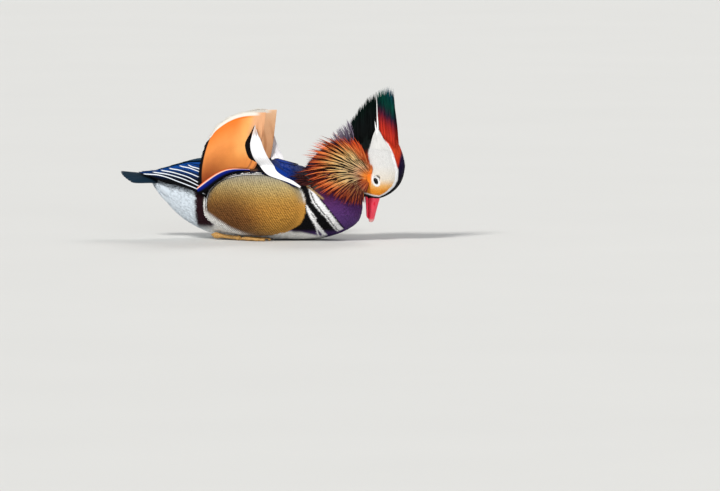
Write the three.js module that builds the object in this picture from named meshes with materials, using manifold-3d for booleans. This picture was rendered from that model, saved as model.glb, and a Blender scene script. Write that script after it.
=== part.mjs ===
// A drake mandarin duck at life size, resting on its belly with its feet tucked under, head bent down,
// crest and ruff spread and both sail feathers raised. Millimetres. The bird faces +X, its left side is +Y,
// and +Z is up. The origin is on the flat of the belly, under the middle of the body.
import * as THREE from "three";
import { mergeVertices } from "three/addons/utils/BufferGeometryUtils.js";
import Module from "manifold-3d";

const wasm = await Module();
wasm.setup();

// Clearance between neighbouring pieces: what a smooth body is grown by, and how far a thin one is moved.
const gap = 0.38;
const room = 0.6;
// How far a surface may shift when its needless points go: bodies, plumes, the ruff and the clearances.
const fineness = 0.07;
const plumeFineness = 0.2;
const ruffFineness = 0.3;
const roomFineness = 0.05;

const vaneThick = 0.7;
const plumeThick = 1.6;
const right = -1;
const left = 1;

// Stations of the torso from the tail root to the breast: widest height, top, bottom and half width.
const torsoStations = [
  { x: -135, z: 73, top: 73, bottom: 73, half: 0 },
  { x: -131, z: 71, top: 76, bottom: 66, half: 8 },
  { x: -121, z: 67, top: 80, bottom: 53, half: 17 },
  { x: -109, z: 61, top: 83, bottom: 38, half: 25 },
  { x: -90, z: 55, top: 87, bottom: 21, half: 35 },
  { x: -65, z: 50, top: 92, bottom: 8, half: 42 },
  { x: -36, z: 46, top: 96, bottom: 0, half: 47.5 },
  { x: -4, z: 44, top: 100, bottom: -4, half: 50.5 },
  { x: 30, z: 44, top: 100, bottom: -4.5, half: 51 },
  { x: 60, z: 43, top: 93, bottom: -4, half: 50.5 },
  { x: 86, z: 42, top: 86, bottom: 0, half: 48 },
  { x: 107, z: 42, top: 80, bottom: 6, half: 42.5 },
  { x: 123, z: 42, top: 72, bottom: 14, half: 34 },
  { x: 134, z: 42, top: 61, bottom: 24, half: 21 },
  { x: 138.5, z: 42, top: 42, bottom: 42, half: 0 },
];
const torsoSquareness = 2.2;
const torsoMiddle = { x: 4, length: 135 };

// Stations of the neck: the centre of each ring on the middle plane, and its radius.
const neckStations = [
  { x: 78, z: 50, radius: 0 },
  { x: 80, z: 54, radius: 24 },
  { x: 89, z: 67, radius: 31 },
  { x: 101, z: 83, radius: 31 },
  { x: 115, z: 97, radius: 28 },
  { x: 131, z: 104, radius: 24 },
  { x: 144, z: 104, radius: 17 },
  { x: 148, z: 103, radius: 0 },
];

// Stations of the head, which hangs bill down: throat side, crown side and half width at each height.
const headStations = [
  { z: 50.5, throat: 150, crown: 150, half: 0 },
  { z: 52, throat: 142, crown: 161, half: 8 },
  { z: 57, throat: 139, crown: 172, half: 13 },
  { z: 65, throat: 136, crown: 182, half: 17 },
  { z: 76, throat: 133, crown: 189, half: 19.8 },
  { z: 90, throat: 131, crown: 192, half: 21 },
  { z: 104, throat: 128, crown: 190, half: 20.2 },
  { z: 117, throat: 126, crown: 185.5, half: 17.5 },
  { z: 129, throat: 127, crown: 180, half: 13 },
  { z: 138, throat: 133, crown: 175, half: 8 },
  { z: 142, throat: 153, crown: 153, half: 0 },
];

const headSquareness = 2.1;
const headMiddle = { z: 96, height: 46 };

// Bill: its two mandibles from inside the face down to the tip, as front and back edges and half width.
const upperBillStations = [
  { z: 62, front: 150, back: 150, half: 0 },
  { z: 60, front: 158, back: 145.6, half: 6.6 },
  { z: 52, front: 158, back: 145.6, half: 7.4 },
  { z: 44, front: 154.2, back: 145.9, half: 7.1 },
  { z: 36, front: 151.8, back: 146.1, half: 6.9 },
  { z: 29, front: 150.2, back: 146, half: 6.3 },
  { z: 24.5, front: 148.8, back: 145.2, half: 4.2 },
  { z: 22.6, front: 146.6, back: 146.6, half: 0 },
];
const lowerBillStations = [
  { z: 62, front: 145, back: 145, half: 0 },
  { z: 60, front: 145.2, back: 141.6, half: 5.6 },
  { z: 52, front: 145.2, back: 141.6, half: 6.3 },
  { z: 44, front: 145.5, back: 142.4, half: 6.2 },
  { z: 36, front: 145.7, back: 143.3, half: 5.9 },
  { z: 30, front: 145.6, back: 143.8, half: 5 },
  { z: 26, front: 145, back: 145, half: 0 },
];
const upperKeel = 0.42;
const lowerKeel = -0.2;
const billNail = { x: 148.6, z: 25.4, depth: 1.7, halfWidth: 2.8, halfLength: 3.4 };
const nostril = { x: 153, y: 6.4, z: 46, halfLength: 2.1, halfWidth: 0.9, depth: 2.2 };

const eye = { x: 159.5, y: 15.4, z: 78, radius: 5 };
const lid = { halfLength: 5.1, halfWidth: 3.7, tube: 1.1, out: 19.3, lean: 0.25, fold: 0.06 };

// Flank: the cushion of side feathers over the folded wing.
const flank = { x: 9, y: 29, z: 45, length: 69, depth: 30.5, height: 41.5, outline: 2.3, dome: 2.8 };
// Wing: the folded arm with its coverts, mostly under the flank and the shoulder feathers.
const wingArm = { x: -14, y: 27, z: 80, length: 58, depth: 14, height: 18 };

// Folded primaries and tertials, lowest first: height at the wrist and place of the tip.
const flightFeathers = { count: 8, rootX: -34, wristX: -62, low: 60, high: 92, width: 13, out: 3.4 };
const longestTip = { x: -141, y: 13, z: 80.5 };
const shortestTip = { x: -86, y: 15, z: 91 };

const tail = {
  feathers: 14,
  rootX: -112,
  tipX: -171,
  z: 76.5,
  tipZ: 84.5,
  spread: 26,
  droop: 10,
  width: 13.5,
  rootSpread: 8,
  sunk: 4,
  rounding: 26,
};
const tailStump = { x: -120, z: 74, length: 17, half: 15, height: 6 };
const tailCoverts = {
  count: 6,
  rootX: -98,
  tipX: -140,
  z: 80,
  spread: 17,
  droop: 4,
  width: 13,
  rounding: 14,
};

// Sail: the corners of the raised feather seen from the side, and how far from the middle plane it stands.
const sail = {
  baseFront: { x: 4, z: 89 },
  baseRear: { x: -62, z: 65 },
  tip: { x: 21, z: 161 },
  topRear: { x: -52.5, z: 130 },
  baseOut: 37,
  rearOut: 47.5,
  topOut: 31,
  bulge: 4,
  thick: 1,
  lowArch: 10.5,
  highArch: 13,
  frontHollow: 6.5,
  rearHollow: 4.2,
};

// Shoulder plume: the white feather band with its black border that sweeps up the front of the sail.
const shoulderBand = [
  { x: 70, z: 66, width: 9 },
  { x: 56, z: 76, width: 11.5 },
  { x: 38, z: 87, width: 12.5 },
  { x: 24, z: 99, width: 12.5 },
  { x: 14.5, z: 112, width: 12.5 },
  { x: 8.5, z: 126, width: 10 },
  { x: 7, z: 144, width: 2.5 },
];
const bandOut = { low: 30, high: 40, from: 88, over: 22, lift: 3.4, least: 1.2 };
const bandVanes = [
  { shift: 0, inward: 0, breadth: 1 },
  { shift: -5.5, inward: 0.9, breadth: 0.9 },
];
// The dark plumes inside the band: root, middle and tip of the first, and the step from one to the next.
const darkPlumes = { count: 3, width: 15, turn: 0.75, turnStep: -0.2 };
const darkRoot = { x: 64, y: 37, z: 77, step: [-3, -9, 6.5] };
const darkMiddle = { x: 40, y: 31.5, z: 92, step: [-2, -8, 5] };
const darkTip = { x: 15, y: 26, z: 106, step: [2, -7, 1.5] };

// Ruff: a fan of hackles about a point on the cheek. Angles are in degrees from +X in the side view.
const ruff = { x: 147, y: 15, z: 80, from: 102, to: 264, shortest: 36, longest: 77, peak: 152, breadth: 48 };
const ruffSeed = 51;
const ruffLayers = [
  { plumes: 17, reach: 1, out: 42, mid: 32, width: 6.2 },
  { plumes: 12, reach: 0.79, out: 38, mid: 30, width: 6.2 },
  { plumes: 8, reach: 0.6, out: 32, mid: 27, width: 6 },
];
const cheekPad = { x: 130, y: 17, z: 86, length: 20, depth: 13, height: 27 };

// Crest: where its feathers leave the head and where they end, from the nape to the forehead.
const crestRoots = [
  { x: 128, z: 116 },
  { x: 135, z: 124 },
  { x: 148, z: 130 },
  { x: 163, z: 130 },
  { x: 176, z: 124 },
];
const crestTips = [
  { x: 121, z: 150 },
  { x: 133, z: 167 },
  { x: 148, z: 178 },
  { x: 163, z: 188 },
  { x: 177, z: 190 },
];
const crest = { rows: 12, columns: 4, rootHalf: 12.5, midHalf: 8, tipHalf: 4.6, width: 6 };
const crestCore = { low: 112, high: 158, rearX: 150, frontX: 156, halfLength: 26, lowHalf: 16, highHalf: 5 };
// The white plumes over the eyes, from the brow to their tips.
const browPlume = [
  { x: 160, y: 8, z: 124 },
  { x: 158.5, y: 9.6, z: 146 },
  { x: 155.5, y: 7.6, z: 168 },
  { x: 154.5, y: 5.5, z: 187 },
];
const browWidth = 3;

// The locks on the back of the neck, in rows from the shoulders to the nape.
const neckHackles = {
  rows: 5,
  columns: 3,
  first: 0.42,
  last: 0.84,
  spread: 30,
  length: 27,
  width: 8,
  sunk: 3,
};

const hock = { x: -44, y: 25, z: 5, length: 8, half: 5, height: 5.5 };
const shank = { ankleX: -12, lowZ: 1.7, highZ: 3.2, thin: 2.7, thick: 3.6 };
const foot = { toeX: 30, y: 37.5, spread: 10, toe: 1.9, web: 1.4 };
const toes = [
  { spread: -1, length: 0.8 },
  { spread: 0, length: 1 },
  { spread: 1, length: 0.86 },
];

const fullTurn = 2 * Math.PI;
const degrees = Math.PI / 180;

// A seeded draw between -1 and 1, so that every build is alike.
function drawFrom(seed) {
  let state = seed;
  return () => {
    state = (state * 1664525 + 1013904223) % 4294967296;
    return state / 2147483648 - 1;
  };
}

const mix = (a, b, t) => a + (b - a) * t;
const clamp = (v, low, high) => Math.min(Math.max(v, low), high);
const smooth = (t) => clamp(t, 0, 1) ** 2 * (3 - 2 * clamp(t, 0, 1));

// The station at a share t of the way along a list, on a smooth curve through its values.
function between(stations, t) {
  const place = clamp(t, 0, 1) * (stations.length - 1);
  const i = Math.min(Math.floor(place), stations.length - 2);
  const f = place - i;
  const at = (k) => stations[clamp(k, 0, stations.length - 1)];
  const found = {};
  for (const key of Object.keys(stations[0])) {
    const [a, b, c, d] = [-1, 0, 1, 2].map((k) => at(i + k)[key]);
    found[key] = b + 0.5 * f * (c - a + f * (2 * a - 5 * b + 4 * c - d + f * (3 * (b - c) + d - a)));
  }
  return found;
}

// A closed three.js geometry as a solid that can be joined and cut.
function solidFrom(geometry) {
  const bare = geometry.clone();
  for (const name of Object.keys(bare.attributes)) if (name !== "position") bare.deleteAttribute(name);
  const merged = mergeVertices(bare, 1e-4);
  const turn = (order) =>
    new wasm.Manifold(
      new wasm.Mesh({
        numProp: 3,
        vertProperties: new Float32Array(merged.attributes.position.array),
        triVerts: order,
      }),
    );
  const order = new Uint32Array(merged.index.array);
  const made = turn(order);
  if (made.volume() > 0) return made;
  for (let i = 0; i < order.length; i += 3) [order[i + 1], order[i + 2]] = [order[i + 2], order[i + 1]];
  return turn(order);
}

// The pieces as one solid, less the cutters, keeping only its largest closed surface.
function fused(pieces, cutters = [], fine = fineness) {
  let whole = wasm.Manifold.union(pieces).asOriginal().simplify(fine);
  if (cutters.length) whole = whole.subtract(wasm.Manifold.union(cutters)).asOriginal().simplify(fine / 2);
  const parts = whole.decompose();
  return parts.reduce((most, part) => (part.volume() > most.volume() ? part : most));
}

// A solid as a plain geometry.
function geometryOf(solid) {
  const { numProp, numVert, vertProperties, triVerts } = solid.getMesh();
  const points = new Float32Array(numVert * 3);
  for (let i = 0; i < numVert; i += 1) {
    points.set(vertProperties.subarray(i * numProp, i * numProp + 3), i * 3);
  }
  const geometry = new THREE.BufferGeometry();
  geometry.setAttribute("position", new THREE.BufferAttribute(points, 3));
  geometry.setIndex(new THREE.BufferAttribute(triVerts, 1));
  return geometry;
}

// The room round a thin solid that its neighbours leave free: copies of it moved a little to every side.
function roomRound(solid) {
  const geometry = geometryOf(solid);
  const moves = [-1, 1].flatMap((x) => [-1, 1].flatMap((y) => [-1, 1].map((z) => [x, y, z])));
  moves.push([1, 0, 0], [-1, 0, 0], [0, 1, 0], [0, -1, 0], [0, 0, 1], [0, 0, -1]);
  const copies = moves.map(([x, y, z]) => {
    const reach = room / Math.max(Math.hypot(x, y, z), 1);
    return solidFrom(geometry.clone().translate(x * reach, y * reach, z * reach));
  });
  return wasm.Manifold.union(copies).asOriginal().simplify(roomFineness);
}

// A sphere's grid laid over rings: place(t, turn) gives the point at a share t and an angle round the ring.
function overRings(rings, sides, place) {
  const geometry = new THREE.SphereGeometry(1, sides, rings);
  const { position, uv } = geometry.attributes;
  for (let i = 0; i < position.count; i += 1) {
    position.setXYZ(i, ...place(1 - uv.getY(i), uv.getX(i) * fullTurn));
  }
  return solidFrom(geometry);
}

function ellipsoid(x, y, z, rx, ry, rz, rings, sides) {
  return overRings(rings, sides, (t, turn) => {
    const ring = Math.sin(t * Math.PI);
    return [x + rx * ring * Math.cos(turn), y + ry * ring * Math.sin(turn), z + rz * Math.cos(t * Math.PI)];
  });
}

// Squared ellipses: the reach sideways at a share of the height, and the point at a cosine or sine.
const roundShare = (share, power) => (1 - Math.min(Math.abs(share), 1) ** power) ** (1 / power);

const powerOf = (value, power) => Math.sign(value) * Math.abs(value) ** (2 / power);

function torsoSolid(grow) {
  const stretch = 1 + grow / torsoMiddle.length;
  return overRings(24, 22, (t, turn) => {
    const s = between(torsoStations, t);
    const open = t > 0 && t < 1 ? 1 : 0;
    const sine = powerOf(Math.sin(turn), torsoSquareness);
    const rise = (sine > 0 ? s.top - s.z : s.z - s.bottom) + grow * open;
    return [
      torsoMiddle.x + (s.x - torsoMiddle.x) * stretch,
      (s.half + grow) * open * powerOf(Math.cos(turn), torsoSquareness),
      s.z + rise * open * sine,
    ];
  });
}

// The torso's station at a place along the bird.
function torsoAt(x) {
  let [low, high] = [0, 1];
  for (let i = 0; i < 24; i += 1) {
    const t = (low + high) / 2;
    if (between(torsoStations, t).x < x) low = t;
    else high = t;
  }
  return between(torsoStations, low);
}

// How far the torso's skin, grown by out, stands from the middle plane at a place and height.
function sideAt(x, z, out) {
  const s = torsoAt(x);
  const reach = z > s.z ? s.top - s.z : s.z - s.bottom;
  return (s.half + out) * roundShare((z - s.z) / (reach + out), torsoSquareness);
}

function neckSolid(grow) {
  return overRings(10, 18, (t, turn) => {
    const s = between(neckStations, t);
    const ahead = between(neckStations, clamp(t + 0.01, 0, 1));
    const behind = between(neckStations, clamp(t - 0.01, 0, 1));
    const run = new THREE.Vector2(ahead.x - behind.x, ahead.z - behind.z).normalize();
    const reach = t > 0 && t < 1 ? Math.max(s.radius, 0) + grow : 0;
    const up = reach * Math.sin(turn);
    return [s.x - run.y * up, reach * Math.cos(turn), s.z + run.x * up];
  });
}

// The neck's own locks lie back along its top, and stand up more towards the nape.
function neckLocks() {
  const draw = drawFrom(19);
  const { rows, columns, first, last, spread, length, width, sunk } = neckHackles;
  const pieces = [];
  for (let row = 0; row < rows; row += 1) {
    const share = row / (rows - 1);
    for (let column = 0; column < columns; column += 1) {
      const t = mix(first, last, share) + 0.012 * draw();
      const [s, ahead] = [between(neckStations, t), between(neckStations, t + 0.01)];
      const run = new THREE.Vector3(ahead.x - s.x, 0, ahead.z - s.z).normalize();
      const up = new THREE.Vector3(-run.z, 0, run.x);
      const turn = spread * degrees * ((2 * column) / (columns - 1) - 1 + 0.1 * draw());
      const out = up.clone().multiplyScalar(Math.cos(turn)).add(new THREE.Vector3(0, Math.sin(turn), 0));
      const root = new THREE.Vector3(s.x, 0, s.z).addScaledVector(out, s.radius - sunk);
      const reach = length * (1 + 0.15 * draw());
      const lift = mix(0.42, 0.95, share);
      const along = (rise, back) =>
        root.clone().addScaledVector(out, rise * reach * lift + sunk).addScaledVector(run, -back * reach);
      const curve = new THREE.CatmullRomCurve3([root, along(0.3, 0.42), along(0.72, 0.95)]);
      pieces.push(plume(curve, width, plumeThick, out, 3));
    }
  }
  return pieces;
}

function headSolid(grow) {
  const stretch = 1 + grow / headMiddle.height;
  return overRings(17, 18, (t, turn) => {
    const s = between(headStations, t);
    const open = t > 0 && t < 1 ? 1 : 0;
    const reach = ((s.crown - s.throat) / 2 + grow) * open;
    return [
      (s.crown + s.throat) / 2 + reach * powerOf(Math.cos(turn), headSquareness),
      (s.half + grow) * open * powerOf(Math.sin(turn), headSquareness),
      headMiddle.z + (s.z - headMiddle.z) * stretch,
    ];
  });
}

// One mandible. Keel narrows its front edge, as along the ridge of the upper bill.
function mandible(stations, keel) {
  return overRings(12, 12, (t, turn) => {
    const s = between(stations, t);
    const open = t > 0 && t < 1 ? 1 : 0;
    const cosine = Math.cos(turn);
    return [
      (s.front + s.back) / 2 + ((s.front - s.back) / 2) * open * powerOf(cosine, 2.4),
      s.half * open * powerOf(Math.sin(turn), 2.4) * (1 - keel * Math.max(cosine, 0)),
      s.z,
    ];
  });
}

function billUpper(headGrown) {
  const { x, y, z, halfWidth, depth, halfLength } = nostril;
  const holes = [left, right].map((side) => ellipsoid(x, side * y, z, halfWidth, depth, halfLength, 8, 10));
  const tip = billNail;
  const nail = ellipsoid(tip.x, 0, tip.z, tip.depth, tip.halfWidth, tip.halfLength, 8, 12);
  return fused([mandible(upperBillStations, upperKeel), nail], [headGrown, ...holes]);
}

// An eye, and the rim of its lids, which lean with the face.
function eyeBall(side, grow) {
  const reach = eye.radius + grow;
  return ellipsoid(eye.x, side * eye.y, eye.z, reach, reach, reach, 8, 14);
}

function lidRim(side) {
  const ring = new THREE.TorusGeometry(1, lid.tube / lid.halfLength, 5, 14);
  const { position } = ring.attributes;
  for (let i = 0; i < position.count; i += 1) {
    const [along, across, out] = [position.getX(i), position.getY(i), position.getZ(i)];
    const [length, width] = [along * lid.halfLength, across * lid.halfWidth];
    position.setXYZ(
      i,
      eye.x + width * Math.cos(lid.lean) - length * Math.sin(lid.lean),
      side * (lid.out + out * lid.halfLength - Math.abs(length) * lid.fold),
      eye.z + length * Math.cos(lid.lean) + width * Math.sin(lid.lean),
    );
  }
  return solidFrom(ring);
}

// A thin sheet with alike triangles on both faces. place(u, v) is its middle, u across and v root to tip.
function vane(place, across, along, thick) {
  const plane = new THREE.PlaneGeometry(1, 1, across, along);
  const count = (across + 1) * (along + 1);
  const points = new Float32Array(count * 6);
  const tiny = 1e-3;
  for (let i = 0; i < count; i += 1) {
    const u = (i % (across + 1)) / across;
    const v = Math.floor(i / (across + 1)) / along;
    const here = new THREE.Vector3(...place(u, v));
    const at = (du, dv) => new THREE.Vector3(...place(clamp(u + du, 0, 1), clamp(v + dv, 0, 1)));
    const slide = (du, dv) => at(du, dv).sub(at(-du, -dv));
    const normal = slide(tiny, 0).cross(slide(0, tiny)).normalize().multiplyScalar(thick / 2);
    points.set(here.clone().add(normal).toArray(), i * 3);
    points.set(here.sub(normal).toArray(), (count + i) * 3);
  }
  const index = [...plane.index.array];
  for (let i = 0; i < plane.index.count; i += 3) {
    const [a, b, c] = [0, 1, 2].map((k) => plane.index.array[i + k] + count);
    index.push(a, c, b);
  }
  const rim = [];
  for (let i = 0; i < across; i += 1) rim.push(i);
  for (let i = 0; i < along; i += 1) rim.push(across + i * (across + 1));
  for (let i = across; i > 0; i -= 1) rim.push(along * (across + 1) + i);
  for (let i = along; i > 0; i -= 1) rim.push(i * (across + 1));
  rim.forEach((a, k) => {
    const b = rim[(k + 1) % rim.length];
    index.push(a, b, b + count, a, b + count, a + count);
  });
  const geometry = new THREE.BufferGeometry();
  geometry.setAttribute("position", new THREE.BufferAttribute(points, 3));
  geometry.setIndex(index);
  return solidFrom(geometry);
}

// A feather's outline: its share of full width from root to tip, rounded or pointed at the end.
function outline(v, rootShare, point) {
  const root = mix(rootShare, 1, smooth(v / 0.35));
  return root * Math.max(0.07, (1 - v ** point) ** 0.62);
}

// A broad feather along a curve. facing is the way its upper face looks, and camber arches it across.
function feather(curve, width, facing, { across = 2, along = 6, root = 0.6, point = 5, camber = 0.1 }) {
  return vane(
    (u, v) => {
      const run = curve.getTangent(v);
      const side = new THREE.Vector3().crossVectors(run, facing).normalize();
      const over = new THREE.Vector3().crossVectors(side, run);
      const half = (width / 2) * outline(v, root, point);
      const share = 2 * u - 1;
      return curve
        .getPoint(v)
        .addScaledVector(side, share * half)
        .addScaledVector(over, -camber * half * share * share)
        .toArray();
    },
    across,
    along,
    vaneThick,
  );
}

// A lock or hackle: a closed blade of four edges along a curve, ending in a point.
function plume(curve, width, thick, facing, rings, widest = 0.4) {
  const points = [];
  for (let k = 0; k < rings; k += 1) {
    const t = k / rings;
    const run = curve.getTangent(t);
    const side = new THREE.Vector3().crossVectors(run, facing).normalize();
    const over = new THREE.Vector3().crossVectors(side, run);
    const share = t < widest ? mix(0.55, 1, t / widest) : Math.sqrt(1 - (t - widest) / (1 - widest));
    const here = curve.getPoint(t);
    for (const [s, o] of [[1, 0], [0, 1], [-1, 0], [0, -1]]) {
      points.push(
        ...here
          .clone()
          .addScaledVector(side, (s * width * share) / 2)
          .addScaledVector(over, (o * thick * Math.sqrt(share)) / 2)
          .toArray(),
      );
    }
  }
  points.push(...curve.getPoint(1).toArray());
  const index = [0, 1, 2, 0, 2, 3];
  for (let k = 0; k < rings - 1; k += 1) {
    const [a, b] = [4 * k, 4 * k + 4];
    for (const [edge, face] of [[0, 1], [2, 1], [2, 3], [0, 3]]) {
      const quad = [a + edge, a + face, b + face, b + edge];
      const forward = (face - edge + 4) % 4 === 1;
      if (forward) index.push(quad[0], quad[2], quad[1], quad[0], quad[3], quad[2]);
      else index.push(quad[0], quad[1], quad[2], quad[0], quad[2], quad[3]);
    }
  }
  const [last, tip] = [4 * (rings - 1), 4 * rings];
  for (let k = 0; k < 4; k += 1) index.push(last + k, tip, last + ((k + 1) % 4));
  const geometry = new THREE.BufferGeometry();
  geometry.setAttribute("position", new THREE.BufferAttribute(new Float32Array(points), 3));
  geometry.setIndex(index);
  return solidFrom(geometry);
}

const curveOf = (points) => new THREE.CatmullRomCurve3(points.map((p) => new THREE.Vector3(...p)));

function flankSolid(side, grow) {
  const { x, y, z, length, depth, height, outline, dome } = flank;
  return overRings(11, 24, (t, turn) => {
    const round = powerOf(Math.sin(t * Math.PI), dome);
    return [
      x + (length + grow) * round * powerOf(Math.cos(turn), outline),
      side * (y - (depth + grow) * powerOf(Math.cos(t * Math.PI), dome)),
      z + (height + grow) * round * powerOf(Math.sin(turn), outline),
    ];
  });
}

// The folded wing's feathers, from the lowest and longest up to the shortest beside the back.
function flightVanes(side) {
  const { count, rootX, wristX, low, high, width, out } = flightFeathers;
  const made = [];
  for (let i = 0; i < count; i += 1) {
    const share = i / (count - 1);
    const wristZ = mix(low, high, share ** 0.94);
    const tipX = mix(longestTip.x, shortestTip.x, share ** 0.9);
    const tipY = mix(longestTip.y, shortestTip.y, share);
    const tipZ = mix(longestTip.z, shortestTip.z, share);
    const lift = out + 0.16 * i;
    const middleX = (wristX + tipX) / 2;
    const middleZ = mix(wristZ, tipZ, 0.56);
    const at = (x, z) => [x, side * Math.max(sideAt(x, z, lift), tipY), z];
    const tip = [tipX, side * tipY, tipZ];
    const curve = curveOf([at(rootX, wristZ - 6), at(wristX, wristZ), at(middleX, middleZ), tip]);
    const turn = mix(14, 66, share) * degrees;
    const facing = new THREE.Vector3(0, side * Math.cos(turn), Math.sin(turn));
    made.push(feather(curve, width, facing, { along: 5, root: 0.9, point: 6 }));
  }
  return made;
}

function wingSolid(side, cutters) {
  const { x, y, z, length, depth, height } = wingArm;
  const arm = ellipsoid(x, side * y, z, length, depth, height, 9, 14);
  return fused([arm, ...flightVanes(side)], cutters, plumeFineness);
}

// The tail: a shallow fan of rectrices under a shorter tier of coverts, on the root of the tail.
function tailSolid(cutters) {
  const stump = tailStump;
  const pieces = [ellipsoid(stump.x, 0, stump.z, stump.length, stump.half, stump.height, 8, 14)];
  for (let i = 0; i < tail.feathers; i += 1) {
    const share = (2 * i) / (tail.feathers - 1) - 1;
    const away = Math.abs(share);
    const fall = tail.droop * away ** 1.4;
    const endX = tail.tipX + tail.rounding * away ** 1.7;
    const curve = curveOf([
      [tail.rootX, share * tail.rootSpread, tail.z - tail.sunk - 0.25 * fall],
      [mix(tail.rootX, endX, 0.5), share * tail.spread * 0.62, tail.z - 0.6 * fall],
      [endX, share * tail.spread, tail.tipZ - fall],
    ]);
    const facing = new THREE.Vector3(0.15, share * 0.7, 1).normalize();
    pieces.push(feather(curve, tail.width, facing, { along: 4, root: 0.7, point: 4 }));
  }
  for (let i = 0; i < tailCoverts.count; i += 1) {
    const share = (2 * i) / (tailCoverts.count - 1) - 1;
    const away = Math.abs(share);
    const fall = tailCoverts.droop * away;
    const curve = curveOf([
      [tailCoverts.rootX, share * tail.rootSpread, tailCoverts.z - fall],
      [tailStump.x, share * tailStump.half, tailCoverts.z - fall],
      [tailCoverts.tipX + tailCoverts.rounding * away, share * tailCoverts.spread, tailCoverts.z - fall],
    ]);
    const facing = new THREE.Vector3(0, share * 0.6, 1).normalize();
    pieces.push(feather(curve, tailCoverts.width, facing, { along: 4, root: 0.8, point: 3.5 }));
  }
  return fused(pieces, cutters, plumeFineness);
}

// The sail's middle surface: u from its front edge to its rear edge, v from the shaft up to the fringe.
function sailPoint(side, u, v) {
  const { baseFront, baseRear, tip, topRear, baseOut, rearOut, topOut, bulge } = sail;
  const arch = Math.max(Math.sin(Math.PI * u), 0);
  const wave = Math.sin(Math.PI * v);
  const lowZ = mix(baseFront.z, baseRear.z, u) + sail.lowArch * arch ** 0.9 * (1 - 0.25 * u);
  const highZ = mix(tip.z, topRear.z, u) + sail.highArch * arch * (0.65 + 0.35 * u);
  const leaning = v ** (1 + 0.9 * (1 - u));
  const x = mix(mix(baseFront.x, baseRear.x, u), mix(tip.x, topRear.x, u), leaning);
  const out = mix(mix(baseOut, rearOut, smooth(u)), topOut, smooth(v)) + bulge * wave * arch;
  return [x - mix(sail.frontHollow, sail.rearHollow, u) * wave, side * out, mix(lowZ, highZ, v)];
}

function sailSolid(side, cutters) {
  return fused([vane((u, v) => sailPoint(side, u, v), 10, 9, sail.thick)], cutters);
}

// The band's middle surface: u across it from rear to front, v from the shoulder up to its tip.
function bandPoint(side, u, v, { shift, inward, breadth }) {
  const { low, high, from, over, lift, least } = bandOut;
  const s = between(shoulderBand, v);
  const ahead = between(shoulderBand, clamp(v + 0.02, 0, 1));
  const behind = between(shoulderBand, clamp(v - 0.02, 0, 1));
  const run = new THREE.Vector2(ahead.x - behind.x, ahead.z - behind.z).normalize();
  const moved = shift * smooth(v / 0.3) * smooth((1 - v) / 0.25);
  const across = (u - 0.5) * Math.max(s.width * breadth, least) + moved;
  const [x, z] = [s.x + run.y * across, s.z - run.x * across];
  const out = Math.max(sideAt(x, z, lift), mix(low, high, smooth((z - from) / over)));
  return [x, side * (out - inward), z];
}

// The shoulder feathers: a white plume over a black-edged one, and dark plumes inside them.
function shoulderSolid(side, cutters) {
  const pieces = bandVanes.map((band) => vane((u, v) => bandPoint(side, u, v, band), 2, 10, sail.thick));
  for (let k = 0; k < darkPlumes.count; k += 1) {
    const place = ({ x, y, z, step }) => [x + k * step[0], side * (y + k * step[1]), z + k * step[2]];
    const turn = darkPlumes.turn + k * darkPlumes.turnStep;
    const facing = new THREE.Vector3(0.3, side * turn, 0.8).normalize();
    const curve = curveOf([darkRoot, darkMiddle, darkTip].map(place));
    pieces.push(feather(curve, darkPlumes.width, facing, { root: 0.8, point: 3 }));
  }
  return fused(pieces, cutters);
}

// One side's ruff: a cheek pad that reaches less than half way, and hackles fanned in three layers.
function ruffSolid(side, cutters) {
  const draw = drawFrom(ruffSeed + side);
  const pad = cheekPad;
  const pieces = [ellipsoid(pad.x, side * pad.y, pad.z, pad.length, pad.depth, pad.height, 8, 10)];
  for (const layer of ruffLayers) {
    for (let i = 0; i < layer.plumes; i += 1) {
      const turn = mix(ruff.from, ruff.to, (i + 0.5 + 0.18 * draw()) / layer.plumes);
      const bump = Math.exp(-(((turn - ruff.peak) / ruff.breadth) ** 2));
      const length = mix(ruff.shortest, ruff.longest, bump) * layer.reach * (1 + 0.05 * draw());
      const reachTo = (share, bend, out) => {
        const angle = (turn + bend) * degrees;
        const [x, z] = [ruff.x + Math.cos(angle) * length * share, ruff.z + Math.sin(angle) * length * share];
        const clear = x < torsoStations.at(-1).x ? sideAt(x, z, bandOut.lift) : 0;
        return [x, side * Math.max(out, clear), z];
      };
      const curve = curveOf([
        reachTo(0.28, -20, ruff.y),
        reachTo(0.5, -13, layer.mid),
        reachTo(0.8, -5, mix(layer.mid, layer.out, 0.7)),
        reachTo(1, 0, layer.out + draw()),
      ]);
      const facing = new THREE.Vector3(0.35, side, 0).normalize();
      pieces.push(plume(curve, layer.width, plumeThick, facing, 3));
    }
  }
  return fused(pieces, cutters, ruffFineness);
}

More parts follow.
